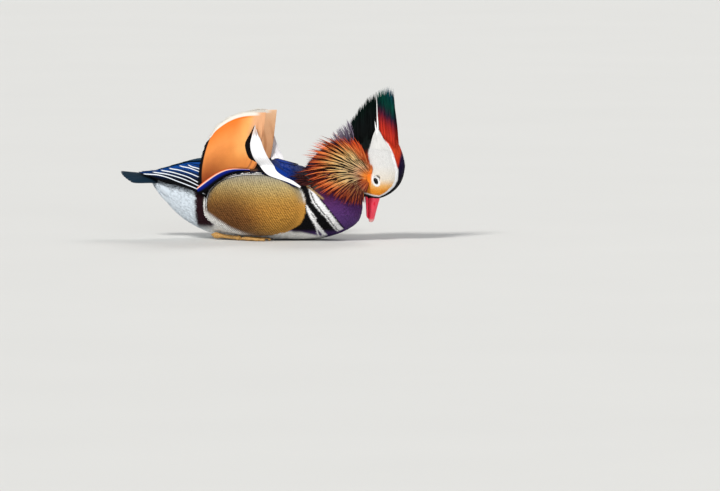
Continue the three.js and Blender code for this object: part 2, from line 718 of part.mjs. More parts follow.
// The raised crest: a narrow core on the crown, with locks in rows from the nape to the forehead.
function crestSolid(cutters) {
  const draw = drawFrom(7);
  const { low, high, rearX, frontX, halfLength, lowHalf, highHalf } = crestCore;
  const core = overRings(8, 22, (t, turn) => {
    const share = Math.sin(t * Math.PI) ** 0.7;
    const ends = 4 * t * Math.cos(turn) - 9 * (1 - t) * Math.cos(turn) ** 2;
    return [
      mix(rearX, frontX, t) + halfLength * share * Math.cos(turn),
      mix(lowHalf, highHalf, t) * share * Math.sin(turn),
      mix(low, high, t) + share * ends,
    ];
  });
  const pieces = [core];
  for (let row = 0; row < crest.rows; row += 1) {
    const along = row / (crest.rows - 1);
    for (let column = 0; column < crest.columns; column += 1) {
      const across = (2 * column) / (crest.columns - 1) - 1;
      const place = clamp(along + 0.03 * draw() + (column % 2 ? 0.03 : 0), 0, 1);
      const root = between(crestRoots, place);
      const tip = between(crestTips, place);
      const length = 1 - 0.06 * Math.abs(across) + 0.04 * draw();
      const reachTo = (share, out) => [
        mix(root.x, tip.x, share * length) - 2.5 * Math.sin(share * Math.PI) * (1 - place),
        across * out,
        mix(root.z, tip.z, share * length),
      ];
      const { rootHalf, midHalf, tipHalf } = crest;
      const curve = curveOf([reachTo(0, rootHalf), reachTo(0.5, midHalf), reachTo(1, tipHalf)]);
      const facing = new THREE.Vector3(0.2, across < 0 ? -1 : 1, 0).normalize();
      pieces.push(plume(curve, crest.width, plumeThick, facing, 3));
    }
  }
  for (const side of [left, right]) {
    const curve = curveOf(browPlume.map(({ x, y, z }) => [x, side * y, z]));
    pieces.push(plume(curve, browWidth, plumeThick, new THREE.Vector3(0, side, 0), 6, 0.2));
  }
  return fused(pieces, cutters, plumeFineness);
}

// A tucked leg: the hock sunk in the belly, and the shank along the floor out to the foot, cut flat below.
function legSolid(side) {
  const joint = ellipsoid(hock.x, side * hock.y, hock.z, hock.length, hock.half, hock.height, 6, 10);
  const rod = overRings(7, 8, (t, turn) => {
    const reach = mix(shank.thick, shank.thin, t) * Math.sin(Math.PI * t) ** 0.4;
    return [
      mix(hock.x, shank.ankleX, t),
      side * mix(hock.y, foot.y, t) + reach * Math.cos(turn),
      mix(shank.highZ, shank.lowZ, t) + reach * Math.sin(turn),
    ];
  });
  return aboveFloor(fused([rod, joint]));
}

// A foot: three toes ending in claws, with the web between them.
function footSolid(side) {
  const y = side * foot.y;
  const start = shank.ankleX + 1.2;
  const pieces = toes.map(({ spread, length }) => {
    const end = mix(start, foot.toeX, length);
    const endY = y + side * spread * foot.spread;
    const curve = curveOf([
      [start, mix(y, endY, 0.14), 1.5],
      [mix(start, end, 0.5), mix(y, endY, 0.6), 2],
      [end, endY, 1],
    ]);
    return plume(curve, 2.4 * foot.toe, 2 * foot.toe, new THREE.Vector3(0, 0, 1), 5, 0.5);
  });
  const webEdge = (u) => 0.74 - 0.1 * Math.cos(fullTurn * u) ** 2 - 0.08 * (1 - Math.abs(2 * u - 1));
  const webPoint = (u, v) => {
    const x = mix(start, mix(start, foot.toeX, webEdge(u)), v);
    return [x, y + side * (2 * u - 1) * foot.spread * 0.72 * mix(0.2, 1, v), foot.web / 1.4];
  };
  return aboveFloor(fused([...pieces, vane(webPoint, 6, 4, foot.web)]));
}

// The part of a solid above the floor, less the cutters.
function aboveFloor(solid, cutters = []) {
  const below = 60;
  const floor = new THREE.BoxGeometry(500, 300, below);
  floor.translate(0, 0, -below / 2);
  return fused([solid], [solidFrom(floor), ...cutters]);
}

const material = (color, roughness, metalness = 0) =>
  new THREE.MeshStandardMaterial({ color, roughness, metalness });
const finishes = {
  torso: material(0x4a2b3c, 0.75),
  neck: material(0xb5521f, 0.75),
  head: material(0xe9e2d6, 0.7),
  crest: material(0x14352f, 0.55),
  ruff: material(0xc85a24, 0.7),
  bill: material(0xcf1f35, 0.4),
  eye: material(0x140a06, 0.1),
  flank: material(0xb08a4a, 0.8),
  wing: material(0x16202c, 0.6),
  sail: material(0xdf8a45, 0.7),
  shoulder: material(0xe8e4de, 0.7),
  tail: material(0x2a3138, 0.65),
  leg: material(0xc98a3a, 0.6),
};

const bird = new THREE.Group();
function add(name, solid, finish) {
  const geometry = geometryOf(solid);
  geometry.computeVertexNormals();
  const mesh = new THREE.Mesh(geometry, finish);
  mesh.name = name;
  bird.add(mesh);
}

const torsoGrown = torsoSolid(gap);
const headGrown = headSolid(gap);
const neckGrown = neckSolid(gap);
const sides = [["right", right], ["left", left]];
const legs = sides.map(([, side]) => legSolid(side));
const legsRoom = legs.map(roomRound);
const feet = sides.map(([, side], i) => fused([footSolid(side)], [legsRoom[i]]));
const feetRoom = [...legsRoom, ...feet.map(roomRound)];

add("torso", aboveFloor(torsoSolid(0), feetRoom), finishes.torso);
const lids = sides.map(([, side]) => lidRim(side));
const sockets = sides.map(([, side]) => eyeBall(side, gap));
add("head", fused([headSolid(0), ...lids], [torsoGrown, ...sockets]), finishes.head);
add("bill_upper", billUpper(headGrown), finishes.bill);
add("bill_lower", fused([mandible(lowerBillStations, lowerKeel)], [headGrown, torsoGrown]), finishes.bill);
const crestLocks = crestSolid([headGrown, neckGrown]);
add("crest", crestLocks, finishes.crest);
const neckCutters = [torsoGrown, headGrown, roomRound(crestLocks)];
const neck = fused([neckSolid(0), ...neckLocks()], neckCutters);
add("neck", neck, finishes.neck);
const neckRoom = roomRound(neck);
const wings = [];
for (const [i, [word, side]] of sides.entries()) {
  const flankGrown = flankSolid(side, gap);
  const sailVane = sailSolid(side, [torsoGrown, flankGrown]);
  const shoulderVanes = shoulderSolid(side, [torsoGrown, flankGrown, roomRound(sailVane)]);
  const raised = [roomRound(sailVane), roomRound(shoulderVanes)];
  const wing = wingSolid(side, [torsoGrown, flankGrown, ...raised]);
  wings.push(roomRound(wing));
  add(`eye_${word}`, eyeBall(side, 0), finishes.eye);
  add(`flank_${word}`, fused([flankSolid(side, 0)], [torsoGrown, ...feetRoom]), finishes.flank);
  add(`leg_${word}`, legs[i], finishes.leg);
  add(`foot_${word}`, feet[i], finishes.leg);
  add(`wing_${word}`, wing, finishes.wing);
  add(`sail_${word}`, sailVane, finishes.sail);
  add(`shoulder_${word}`, shoulderVanes, finishes.shoulder);
  add(`ruff_${word}`, ruffSolid(side, [torsoGrown, neckRoom, headGrown]), finishes.ruff);
}
add("tail", tailSolid([torsoGrown, ...wings]), finishes.tail);

export default bird;
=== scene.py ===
import math

import bpy
import numpy as np
from mathutils.bvhtree import BVHTree
from mathutils.kdtree import KDTree
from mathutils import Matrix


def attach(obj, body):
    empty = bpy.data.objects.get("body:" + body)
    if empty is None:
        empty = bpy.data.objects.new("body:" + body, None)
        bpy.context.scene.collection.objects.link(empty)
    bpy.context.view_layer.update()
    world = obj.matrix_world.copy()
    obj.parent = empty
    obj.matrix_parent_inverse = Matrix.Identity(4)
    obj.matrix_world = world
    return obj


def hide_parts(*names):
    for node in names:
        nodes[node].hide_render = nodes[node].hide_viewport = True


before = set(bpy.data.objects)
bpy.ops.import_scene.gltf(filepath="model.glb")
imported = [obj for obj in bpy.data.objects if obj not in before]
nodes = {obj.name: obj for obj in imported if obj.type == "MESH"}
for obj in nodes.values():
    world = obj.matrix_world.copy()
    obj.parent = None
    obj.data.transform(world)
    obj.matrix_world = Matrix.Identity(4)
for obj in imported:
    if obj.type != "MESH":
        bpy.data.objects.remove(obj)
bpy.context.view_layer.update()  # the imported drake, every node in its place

mm = 0.001  # shapes are worked out in millimetres, in the frame of the solids
bothSides = (("right", -1), ("left", 1))


def onBothSides(make):
    for word, side in bothSides:
        make(word, side)



# numbers, colours and curves

def paint(code):  # a screen colour as the linear values that a shader takes
    parts = np.array([int(code[i:i + 2], 16) for i in (1, 3, 5)]) / 255
    return np.where(parts <= 0.04045, parts / 12.92, ((parts + 0.055) / 1.055) ** 2.4)


def soft(low, high, value):  # 0 at low, 1 at high and smooth between; low may be the larger
    t = np.clip((value - low) / (high - low), 0, 1)
    return t * t * (3 - 2 * t)


def ramp(value, stops):  # colours between the stops [(place, colour), ...]
    places = [place for place, code in stops]
    colours = np.array([paint(code) for place, code in stops])
    return np.stack([np.interp(value, places, colours[:, k]) for k in range(3)], -1)


def toward(tint, colour, share):
    goal = paint(colour) if isinstance(colour, str) else colour
    return tint + (goal - tint) * np.clip(share, 0, 1)[..., None]


def unit(vectors):
    return vectors / np.maximum(np.linalg.norm(vectors, axis=-1, keepdims=True), 1e-9)


def through(points, share):  # places on a smooth curve through the points
    points = np.asarray(points, float)
    place = np.clip(share, 0, 1) * (len(points) - 1)
    i = np.minimum(place.astype(int), len(points) - 2)
    f = (place - i)[..., None]
    a, b, c, d = (points[np.clip(i + k, 0, len(points) - 1)] for k in (-1, 0, 1, 2))
    return b + 0.5 * f * (c - a + f * (2 * a - 5 * b + 4 * c - d + f * (3 * (b - c) + d - a)))


def bend(controls, shares):  # the same for many curves at once: controls is curves x points x 3
    last = controls.shape[1] - 1
    place = np.clip(shares, 0, 1) * last
    i = np.minimum(place.astype(int), last - 1)
    f = (place - i)[None, :, None]
    a, b, c, d = (controls[:, np.clip(i + k, 0, last)] for k in (-1, 0, 1, 2))
    return b + 0.5 * f * (c - a + f * (2 * a - 5 * b + 4 * c - d + f * (3 * (b - c) + d - a)))


# shader nodes written as sums

class Wire:  # one output of a node, used as a number
    def __init__(self, tree, socket):
        self.tree = tree
        self.socket = socket

    def maths(self, operation, first, second=0.0):
        made = self.tree.nodes.new("ShaderNodeMath")
        made.operation = operation
        for slot, value in enumerate((first, second)):
            if isinstance(value, Wire):
                self.tree.links.new(value.socket, made.inputs[slot])
            else:
                made.inputs[slot].default_value = value
        return Wire(self.tree, made.outputs[0])

    def __add__(self, other):
        return self.maths("ADD", self, other)

    __radd__ = __add__

    def __sub__(self, other):
        return self.maths("SUBTRACT", self, other)

    def __rsub__(self, other):
        return self.maths("SUBTRACT", other, self)

    def __mul__(self, other):
        return self.maths("MULTIPLY", self, other)

    __rmul__ = __mul__

    def size(self):
        return self.maths("ABSOLUTE", self)

    def sine(self):
        return self.maths("SINE", self)


class Finish:  # a material and its nodes
    def __init__(self, name, fixed):
        self.material = bpy.data.materials.new(name)
        self.material.use_nodes = True
        self.tree = self.material.node_tree
        self.shader = self.tree.nodes["Principled BSDF"]
        for socket, value in fixed.items():
            self.shader.inputs[socket].default_value = value

    def node(self, kind, settings=(), values=(), output=0):
        made = self.tree.nodes.new("ShaderNode" + kind)
        for key, value in dict(settings).items():
            setattr(made, key, value)
        for key, value in dict(values).items():
            if isinstance(value, Wire):
                self.tree.links.new(value.socket, made.inputs[key])
            else:
                made.inputs[key].default_value = value
        return Wire(self.tree, made.outputs[output])

    def fade(self, value, low, high):
        limits = {"Value": value, "From Min": low, "From Max": high}
        return self.node("MapRange", {"interpolation_type": "SMOOTHSTEP"}, limits)

    def mix(self, share, first, second):
        values = {0: share, 6: first, 7: second}
        return self.node("Mix", {"data_type": "RGBA"}, values, 2)

    def brighten(self, colour, amount):
        return self.node("VectorMath", {"operation": "SCALE"}, {0: colour, "Scale": amount})

    def noise(self, scale, detail=2.0):
        place = self.node("TexCoord", output=3)
        return self.node("TexNoise", (), {"Vector": place, "Scale": scale, "Detail": detail})

    def feed(self, **wires):
        for socket, wire in wires.items():
            self.tree.links.new(wire.socket, self.shader.inputs[socket.replace("_", " ")])

    def bump(self, height, strength, distance):
        values = {"Height": height, "Strength": strength, "Distance": distance}
        self.feed(Normal=self.node("Bump", (), values))


def featherFinish(name, look):
    made = Finish(name, {"Sheen Weight": look["sheen"], "Specular IOR Level": look["shine"]})
    tint = made.node("Attribute", {"attribute_name": "tint"})
    gloss = made.node("Attribute", {"attribute_name": "tint"}, (), 3)
    fine = made.node("Attribute", {"attribute_name": "fine"}, (), 2)
    lie = made.node("UVMap", {"uv_map": "lie"})
    across, along = (made.node("SeparateXYZ", (), {0: lie}, axis) for axis in (0, 1))
    out = (across - 0.5).size() * 2.0
    barbs = ((along - out * look["slant"]) * (2 * math.pi / look["barb"])).sine()
    patches = made.noise(look["patch"])
    ripple = made.noise(look["ripple"], 1.0)
    wave = ((along + ripple * look["rippleShare"]) * (2 * math.pi / look["line"])).sine()
    shaft = 1.0 - made.fade(out, *look["shaftEdge"])
    light = 1.0 + barbs * look["barbTone"] + (patches - 0.5) * look["patchTone"] + shaft * look["shaftTone"]
    base = made.brighten(tint, light)
    lined = made.mix(made.fade(wave, *look["lineEdge"]) * fine, base, made.brighten(base, look["lineTone"]))
    made.feed(Base_Color=lined)
    made.feed(Roughness=look["rough"] - gloss * look["smoother"])
    made.feed(Metallic=gloss * look["metal"])
    made.bump(barbs * 0.6 + shaft * 1.5, look["bump"], look["bumpDepth"])
    return made.material


featherLook = {  # lengths along a feather are in centimetres, noise scales per metre
    "sheen": 0.0, "shine": 0.09, "rough": 0.74, "smoother": 0.3, "metal": 0.3,
    "barb": 0.055, "slant": 0.22, "barbTone": 0.05, "bump": 0.22, "shaftTone": 0.0,
    "patch": 160.0, "patchTone": 0.2, "ripple": 260.0, "line": 0.25, "lineTone": 0.42,
    "rippleShare": 0.06, "shaftEdge": (0.03, 0.12), "lineEdge": (0.1, 0.8), "bumpDepth": 0.0002,
}
softFeathers = featherFinish("softFeathers", featherLook)
faceLook = {**featherLook, "sheen": 0.03, "barbTone": 0.015, "patchTone": 0.05, "bump": 0.07}
faceFinish = featherFinish("shortFeathers", faceLook)
hackleLook = {**featherLook, "shine": 0.07, "rough": 0.62, "smoother": 0.2, "patchTone": 0.15, "barb": 0.08}
hackleFinish = featherFinish("hackles", hackleLook)
vaneLook = {**featherLook, "shaftTone": 0.2, "barb": 0.075, "slant": 0.3, "patchTone": 0.12, "shine": 0.07}
vaneFinish = featherFinish("flightVanes", vaneLook)
sailLook = {**vaneLook, "shaftTone": 0.0, "barb": 0.12, "slant": 0.0, "barbTone": 0.085, "patchTone": 0.14}
sailFinish = featherFinish("sailVanes", sailLook)


# meshes from arrays

def mixed(a, b, t):
    return a + (b - a) * t


def outward(points, faces):
    a, b, c = (points[faces[:, k]] for k in range(3))
    volume = np.einsum("ij,ij->i", a, np.cross(b, c)).sum()
    return faces if volume > 0 else faces[:, ::-1]


def capped(rings):  # a closed skin over rings; the first and the last ring are single points
    inner = rings[1:-1]
    count, around = inner.shape[:2]
    points = np.concatenate([rings[0, :1], inner.reshape(-1, 3), rings[-1, :1]])
    here = 1 + np.arange(count * around).reshape(count, around)
    beside = np.roll(here, -1, axis=1)
    a, b, c, d = here[:-1], beside[:-1], beside[1:], here[1:]
    first, last = np.zeros(around, int), np.full(around, len(points) - 1)
    faces = [np.stack(t, -1).reshape(-1, 3) for t in ((a, b, c), (a, c, d))]
    faces += [np.stack((first, beside[0], here[0]), -1), np.stack((last, here[-1], beside[-1]), -1)]
    return points, outward(points, np.concatenate(faces))


def linked(name, data):
    made = bpy.data.objects.new(name, data)
    bpy.context.scene.collection.objects.link(made)
    return made


def placed(made, finish, slot, *replaced):  # gives a piece its finish and its place on the model
    made.data.materials.append(finish)
    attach(made, "root")
    if replaced:
        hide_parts(*replaced)


class Heap:  # gathers the small parts of one piece
    def __init__(self):
        self.lists = {key: [] for key in ("points", "faces", "tint", "lie", "spot", "fine", "rim")}
        self.count = 0

    def add(self, **given):
        given["faces"] = given["faces"] + self.count
        for key, value in given.items():
            self.lists[key].append(value)
        self.count += len(given["points"])

    def piece(self, name, finish, slot, *replaced):
        whole = {key: np.concatenate(parts) for key, parts in self.lists.items()}
        mesh = bpy.data.meshes.new(name)
        mesh.from_pydata((whole["points"] * mm).tolist(), [], whole["faces"].tolist())
        corners = whole["faces"].ravel()
        for layer, key in (("lie", "lie"), ("OFBake", "spot")):
            made = mesh.uv_layers.new(name=layer)
            made.data.foreach_set("uv", whole[key][corners].astype(np.float32).ravel())
        tint = mesh.color_attributes.new("tint", "FLOAT_COLOR", "POINT")
        tint.data.foreach_set("color", whole["tint"].astype(np.float32).ravel())
        fine = mesh.attributes.new("fine", "FLOAT", "POINT")
        fine.data.foreach_set("value", whole["fine"].astype(np.float32))
        mesh.shade_smooth()
        edges = np.empty(len(mesh.edges) * 2, np.int32)
        mesh.edges.foreach_get("vertices", edges)
        crisp = whole["rim"][edges.reshape(-1, 2)].all(axis=1)
        mesh.attributes.new("sharp_edge", "BOOLEAN", "EDGE").data.foreach_set("value", crisp)
        made = linked(name, mesh)
        placed(made, finish, slot, *replaced)
        print(f"{name}: {len(whole['faces'])} triangles")
        return made


def withGloss(tint, gloss):
    share = np.broadcast_to(np.asarray(gloss, float), tint.shape[:-1])
    return np.concatenate([np.clip(tint, 0, 1), share[..., None]], -1)


def flatTint(code, like):  # one colour for as many places as like has
    return np.broadcast_to(paint(code), (len(like), 3))


def lieOver(size):  # barbs along a broad feather, size centimetres long
    return lambda u, v: np.stack([u, size * v], -1)


def vaneFaces(rings):
    faces = []
    for k in range(rings - 1):
        for j in range(4):
            a, b = 4 * k + j, 4 * k + (j + 1) % 4
            faces += [(a, b, b + 4), (a, b + 4, a + 4)]
    last, tip = 4 * (rings - 1), 4 * rings
    faces += [(last + j, last + (j + 1) % 4, tip) for j in range(4)]
    return np.array(faces + [(0, 3, 2), (0, 2, 1)])


def woven(edge, middle):  # colours of the four lines of points along each small feather; the lowest line, under the feather, is drawn darker as painted shade
    count, rings = middle.shape[0], middle.shape[1] - 1
    # painted shade: the underside of each feather at 0.7 of its colour
    shadedUnder = middle * [0.7, 0.7, 0.7, 1.0]
    tint = np.stack([edge, middle, edge, shadedUnder], 2)[:, :rings].reshape(count, -1, 4)
    return np.concatenate([tint, middle[:, rings:]], 1)


def addVanes(heap, centres, ups, half, shape, tints, spots, phase):
    # many small closed feathers: centres is feathers x (rings + tip) x 3, and so is ups
    count, rings = centres.shape[0], centres.shape[1] - 1
    runs = unit(np.gradient(centres, axis=1))
    sides = unit(np.cross(runs, ups))
    over = np.cross(sides, runs)
    wide = half[..., None] * sides[:, :rings]
    drop = half[..., None] * shape["camber"] * over[:, :rings]
    slim = np.sqrt(half / half.max(axis=1, keepdims=True))[..., None]
    thick = slim * shape["thick"] / 2 * over[:, :rings]
    core = centres[:, :rings]
    ring = np.stack([core - wide - drop, core + thick, core + wide - drop, core - thick], 2)
    points = np.concatenate([ring.reshape(count, -1, 3), centres[:, rings:]], 1)
    tint = tints(points) if callable(tints) else tints
    steps = np.linalg.norm(np.diff(centres, axis=1), axis=2)
    along = np.concatenate([np.zeros((count, 1)), np.cumsum(steps, 1)], 1) / 10 + phase[:, None]
    lieU = np.broadcast_to(np.append(np.tile([0.0, 0.5, 1.0, 0.5], rings), 0.5), (count, 4 * rings + 1))
    lieV = np.concatenate([np.repeat(along[:, :rings], 4, axis=1), along[:, rings:]], 1)
    share = np.append(np.repeat(np.arange(rings) / rings, 4), 1.0)
    spotU = spots[:, :1] + 0.003 * (lieU - 0.5)
    spotV = spots[:, 1:] + 0.003 * (share[None] - 0.5)
    faces = vaneFaces(rings)[None] + (np.arange(count) * (4 * rings + 1))[:, None, None]
    flat = points.reshape(-1, 3)
    fine = shape["fine"](flat) if shape["fine"] else np.zeros(len(flat))
    rim = np.tile(np.append(np.tile([True, False, True, False], rings), False), count)
    heap.add(points=flat, faces=faces.reshape(-1, 3), tint=tint.reshape(-1, 4), fine=fine, rim=rim,
             lie=np.stack([lieU, lieV], -1).reshape(-1, 2), spot=np.stack([spotU, spotV], -1).reshape(-1, 2))


def addSheet(heap, place, tintAt, grid, thick, cell, lieAt):
    # one broad feather: place(u, v) is its middle, tintAt(u, v, face) its colour, face 1 above and -1 below
    across, along = grid
    u, v = (g.ravel() for g in np.meshgrid(np.linspace(0, 1, across + 1), np.linspace(0, 1, along + 1)))
    step = 1e-3
    slideU = place(np.clip(u + step, 0, 1), v) - place(np.clip(u - step, 0, 1), v)
    slideV = place(u, np.clip(v + step, 0, 1)) - place(u, np.clip(v - step, 0, 1))
    edge = np.minimum(np.minimum(u, 1 - u) * across, np.minimum(v, 1 - v) * along)
    height = thick / 2 * (0.45 + 0.55 * np.clip(edge / 2, 0, 1))
    raised = unit(np.cross(slideU, slideV)) * height[:, None]
    index = np.arange(len(u)).reshape(along + 1, across + 1)
    a, b, c, d = (q.ravel() for q in (index[:-1, :-1], index[:-1, 1:], index[1:, 1:], index[1:, :-1]))
    upper = np.concatenate([np.stack((a, b, c), -1), np.stack((a, c, d), -1)])
    loop = np.concatenate([index[0, :-1], index[:-1, -1], index[-1, :0:-1], index[:0:-1, 0]])
    ahead = np.roll(loop, -1)
    n = len(u)
    sides = [np.stack(t, -1) for t in ((ahead, loop, loop + n), (ahead, loop + n, ahead + n))]
    middle = place(u, v)
    left, low, wide, high = cell
    spots = [np.stack([left + wide * (0.5 * k + 0.46 * u), low + high * 0.96 * v], -1) for k in (0, 1)]
    lie = lieAt(u, v)
    rim = np.tile(edge < 0.5, 2)
    heap.add(points=np.concatenate([middle + raised, middle - raised]), rim=rim, fine=np.zeros(2 * n),
             faces=np.concatenate([upper, upper[:, ::-1] + n, *sides]),
             tint=np.concatenate([tintAt(u, v, 1), tintAt(u, v, -1)]),
             lie=np.concatenate([lie, lie]), spot=np.concatenate(spots))


# the skin, which lies inside the solids by the depth of the coat

neckPath = [(78, 50, 0), (80, 54, 24), (89, 67, 31), (101, 83, 31), (115, 97, 28), (131, 104, 24),
            (144, 104, 17), (148, 103, 0)]
wingArm = {"place": (-14, 27, 80), "size": (58, 14, 18)}
flankShape = {"x": 9, "z": 45, "length": 67, "height": 41.5, "power": 2.3, "from": 27}
eye = {  # half sizes of the ball, of the opening between the lids and of the white ring about them
    "x": 158.0, "z": 75.3, "lean": 0.42, "wide": 3.5, "long": 5.8, "deep": 5.0, "proud": 1.8, "sunk": 2.6,
    "halfWidth": 2.15, "halfLength": 3.8, "ring": (5.1, 7.4), "gap": 0.3, "beside": (6, 9), "seat": 0.5,
    "seatReach": (2.1, 1.4), "cornea": 0.04, "pupil": (1.5, 2.0),
}
coat = {"body": 2.0, "head": 1.0, "voxel": 1.7, "grow": 0.5, "rootDepth": 0.4, "shade": 0.85}


def only(*things):
    bpy.ops.object.select_all(action="DESELECT")
    for thing in things:
        thing.select_set(True)
    bpy.context.view_layer.objects.active = things[0]


def finishWith(thing, kind, **settings):
    made = thing.modifiers.new(kind.lower(), kind)
    for key, value in settings.items():
        setattr(made, key, value)
    only(thing)
    bpy.ops.object.modifier_apply(modifier=made.name)


def editing(thing, work, **settings):  # one edit of a whole mesh
    only(thing)
    bpy.ops.object.mode_set(mode="EDIT")
    bpy.ops.mesh.select_all(action="SELECT")
    work(**settings)
    bpy.ops.object.mode_set(mode="OBJECT")


def plain(name, points, faces):
    mesh = bpy.data.meshes.new(name)
    mesh.from_pydata((points * mm).tolist(), [], faces.tolist())
    return linked(name, mesh)


def roundBall(segments, rings):
    bpy.ops.object.select_all(action="DESELECT")
    bpy.ops.mesh.primitive_uv_sphere_add(segments=segments, ring_count=rings, radius=1)
    return bpy.context.object


def ballAt(place, size, segments, rings):
    made = roundBall(segments, rings)
    made.location = [value * mm for value in place]
    made.scale = [value * mm for value in size]
    bpy.ops.object.transform_apply(location=True, rotation=False, scale=True)
    return made


def mergedCopy(name):
    made = linked(name + "Copy", nodes[name].data.copy())
    editing(made, bpy.ops.mesh.remove_doubles, threshold=1e-6)
    return made


def neckRings():
    shares = np.linspace(0, 1, 26)
    path = through(neckPath, shares)
    runs = unit(np.gradient(path[:, :2], axis=0))
    turn = np.linspace(0, 2 * math.pi, 32, endpoint=False)
    radius = np.maximum(path[:, 2], 0)[:, None]
    radius[[0, -1]] = 0
    x = path[:, :1] - runs[:, 1:] * radius * np.sin(turn)
    z = path[:, 1:2] + runs[:, :1] * radius * np.sin(turn)
    return np.stack([x, radius * np.cos(turn), z], -1)


def triangles(mesh):
    mesh.calc_loop_triangles()
    corners = np.empty(len(mesh.loop_triangles) * 3, np.int32)
    mesh.loop_triangles.foreach_get("vertices", corners)
    points = np.empty(len(mesh.vertices) * 3, np.float32)
    mesh.vertices.foreach_get("co", points)
    return points.reshape(-1, 3).astype(float) / mm, corners.reshape(-1, 3)


def eyeShare(p, wide, long):  # 1 on an ellipse about the eye, less inside it
    x, z = p[:, 0] - eye["x"], p[:, 2] - eye["z"]
    along = z * math.cos(eye["lean"]) - x * math.sin(eye["lean"])
    across = x * math.cos(eye["lean"]) + z * math.sin(eye["lean"])
    return np.sqrt((across / wide) ** 2 + (along / long) ** 2)


def flankReach(p):  # 1 on the outline of the flank, less inside it
    across = np.abs(p[:, 0] - flankShape["x"]) / flankShape["length"]
    up = np.abs(p[:, 2] - flankShape["z"]) / flankShape["height"]
    return (across ** flankShape["power"] + up ** flankShape["power"]) ** (1 / flankShape["power"])


flesh = [mergedCopy(name) for name in ("torso", "head", "flank_right", "flank_left")]
flesh.append(plain("neckCopy", *capped(neckRings())))
for word, side in bothSides:
    flesh.append(ballAt(np.multiply(wingArm["place"], [1, side, 1]), wingArm["size"], 32, 20))
zoneTrees = []
for part in flesh:
    partPoints, partFaces = triangles(part.data)
    zoneTrees.append(BVHTree.FromPolygons(partPoints.tolist(), partFaces.tolist()))
    finishWith(part, "DISPLACE", strength=coat["grow"] * mm, mid_level=0.0)
only(*flesh)
bpy.ops.object.join()
skin = bpy.context.object
skin.name = "skin"
finishWith(skin, "REMESH", mode="VOXEL", voxel_size=coat["voxel"] * mm)
finishWith(skin, "SMOOTH", factor=0.5, iterations=14)
skinPoints, skinFaces = triangles(skin.data)
skinNormals = np.empty(len(skinPoints) * 3, np.float32)
skin.data.vertices.foreach_get("normal", skinNormals)
skinNormals = skinNormals.reshape(-1, 3).astype(float)
bpy.data.objects.remove(skin)
torsoZone, headZone, flankZone, neckZone, armZone = 0, 1, 2, 4, 5  # in the order of the flesh
farAway = [np.array([tree.find_nearest(p)[3] for p in skinPoints.tolist()]) for tree in zoneTrees]
skinZones = np.minimum(np.argmin(farAway, axis=0), armZone)
skinZones = np.where(np.isin(skinZones, (flankZone, flankZone + 1)), torsoZone, skinZones)
onFlank = (np.abs(skinPoints[:, 1]) > flankShape["from"]) & (flankReach(skinPoints) < 1)
skinZones = np.where(onFlank & (skinZones != headZone), flankZone, skinZones)
depth = coat["grow"] + np.where(skinZones == headZone, coat["head"], coat["body"])
skinPoints = skinPoints - skinNormals * depth[:, None]
skinTree = BVHTree.FromPolygons(skinPoints.tolist(), skinFaces.tolist())
faceNormals = unit(skinNormals[skinFaces].mean(axis=1))
faceMiddles = skinPoints[skinFaces].mean(axis=1)
zone = np.median(skinZones[skinFaces], axis=1).astype(int)
edgeA, edgeB = (skinPoints[skinFaces[:, k]] - skinPoints[skinFaces[:, 0]] for k in (1, 2))
faceAreas = np.linalg.norm(np.cross(edgeA, edgeB), axis=1) / 2
print(f"skin: {len(skinFaces)} triangles")


def onSkin(points):
    found = [skinTree.find_nearest(p) for p in points.tolist()]
    index = np.array([f[2] for f in found])
    return np.array([f[0][:] for f in found]), faceNormals[index]


def scatter(wanted, spacing, seed):  # roots spread evenly over the wanted faces of the skin
    rng = np.random.default_rng(seed)
    chosen = np.flatnonzero(wanted)
    shares = faceAreas[chosen] / faceAreas[chosen].sum()
    count = int(faceAreas[chosen].sum() / spacing ** 2 * 3)
    picked = skinFaces[rng.choice(chosen, count, p=shares)]
    a, b = rng.random((2, count, 1))
    flip = a + b > 1
    a, b = np.where(flip, 1 - a, a), np.where(flip, 1 - b, b)
    p, q, r = (skinPoints[picked[:, k]] for k in range(3))
    spots = p + a * (q - p) + b * (r - p)
    tree = KDTree(count)
    for i, spot in enumerate(spots.tolist()):
        tree.insert(spot, i)
    tree.balance()
    free = np.ones(count, bool)
    kept = []
    for i, spot in enumerate(spots.tolist()):
        if free[i]:
            kept.append(i)
            for found in tree.find_range(spot, spacing):
                free[found[1]] = False
    return spots[kept]


def layAlong(roots, flow, lengths, stations, rise, jitter, rng):  # middle lines that follow the skin
    place, normal = onSkin(roots)
    turn = rng.normal(0, jitter, len(roots))[:, None]
    centres, ups = [], []
    for share, step in zip(stations, np.append(np.diff(stations), 0)):
        height = mixed(-coat["rootDepth"], rise, share ** 0.8)
        centres.append(place + normal * height[:, None])
        ups.append(normal)
        run = flow(place)
        run = unit(run - normal * (run * normal).sum(1, keepdims=True))
        run = run * np.cos(turn) + np.cross(normal, run) * np.sin(turn)
        place, normal = onSkin(place + run * (lengths * step)[:, None])
    return np.stack(centres, 1), np.stack(ups, 1)


def sideOf(x, z, side):  # how far out the skin lies at each place, 0 beside it
    found = [skinTree.ray_cast((a, 90 * side, b), (0, -side, 0))[0] for a, b in zip(x.tolist(), z.tolist())]
    return np.array([abs(spot[1]) if spot is not None else 0.0 for spot in found])


aside, above = eye["beside"]
crossX, crossZ = aside * np.array([-1, 1, 0, 0]), above * np.array([0, 0, -1, 1])
eyeAround = sideOf(eye["x"] + crossX, eye["z"] + crossZ, -1)
eyeOut = eyeAround.mean() + eye["proud"] - eye["deep"]
eyeSlope = ((eyeAround[1] - eyeAround[0]) / (2 * aside), (eyeAround[3] - eyeAround[2]) / (2 * above))


def onEye(x, z, out, side):  # a place on the eye, which leans with the skin about it
    lean = eyeSlope[0] * (x - eye["x"]) + eyeSlope[1] * (z - eye["z"])
    return np.stack([x, side * (eyeOut + out + lean), z], -1)


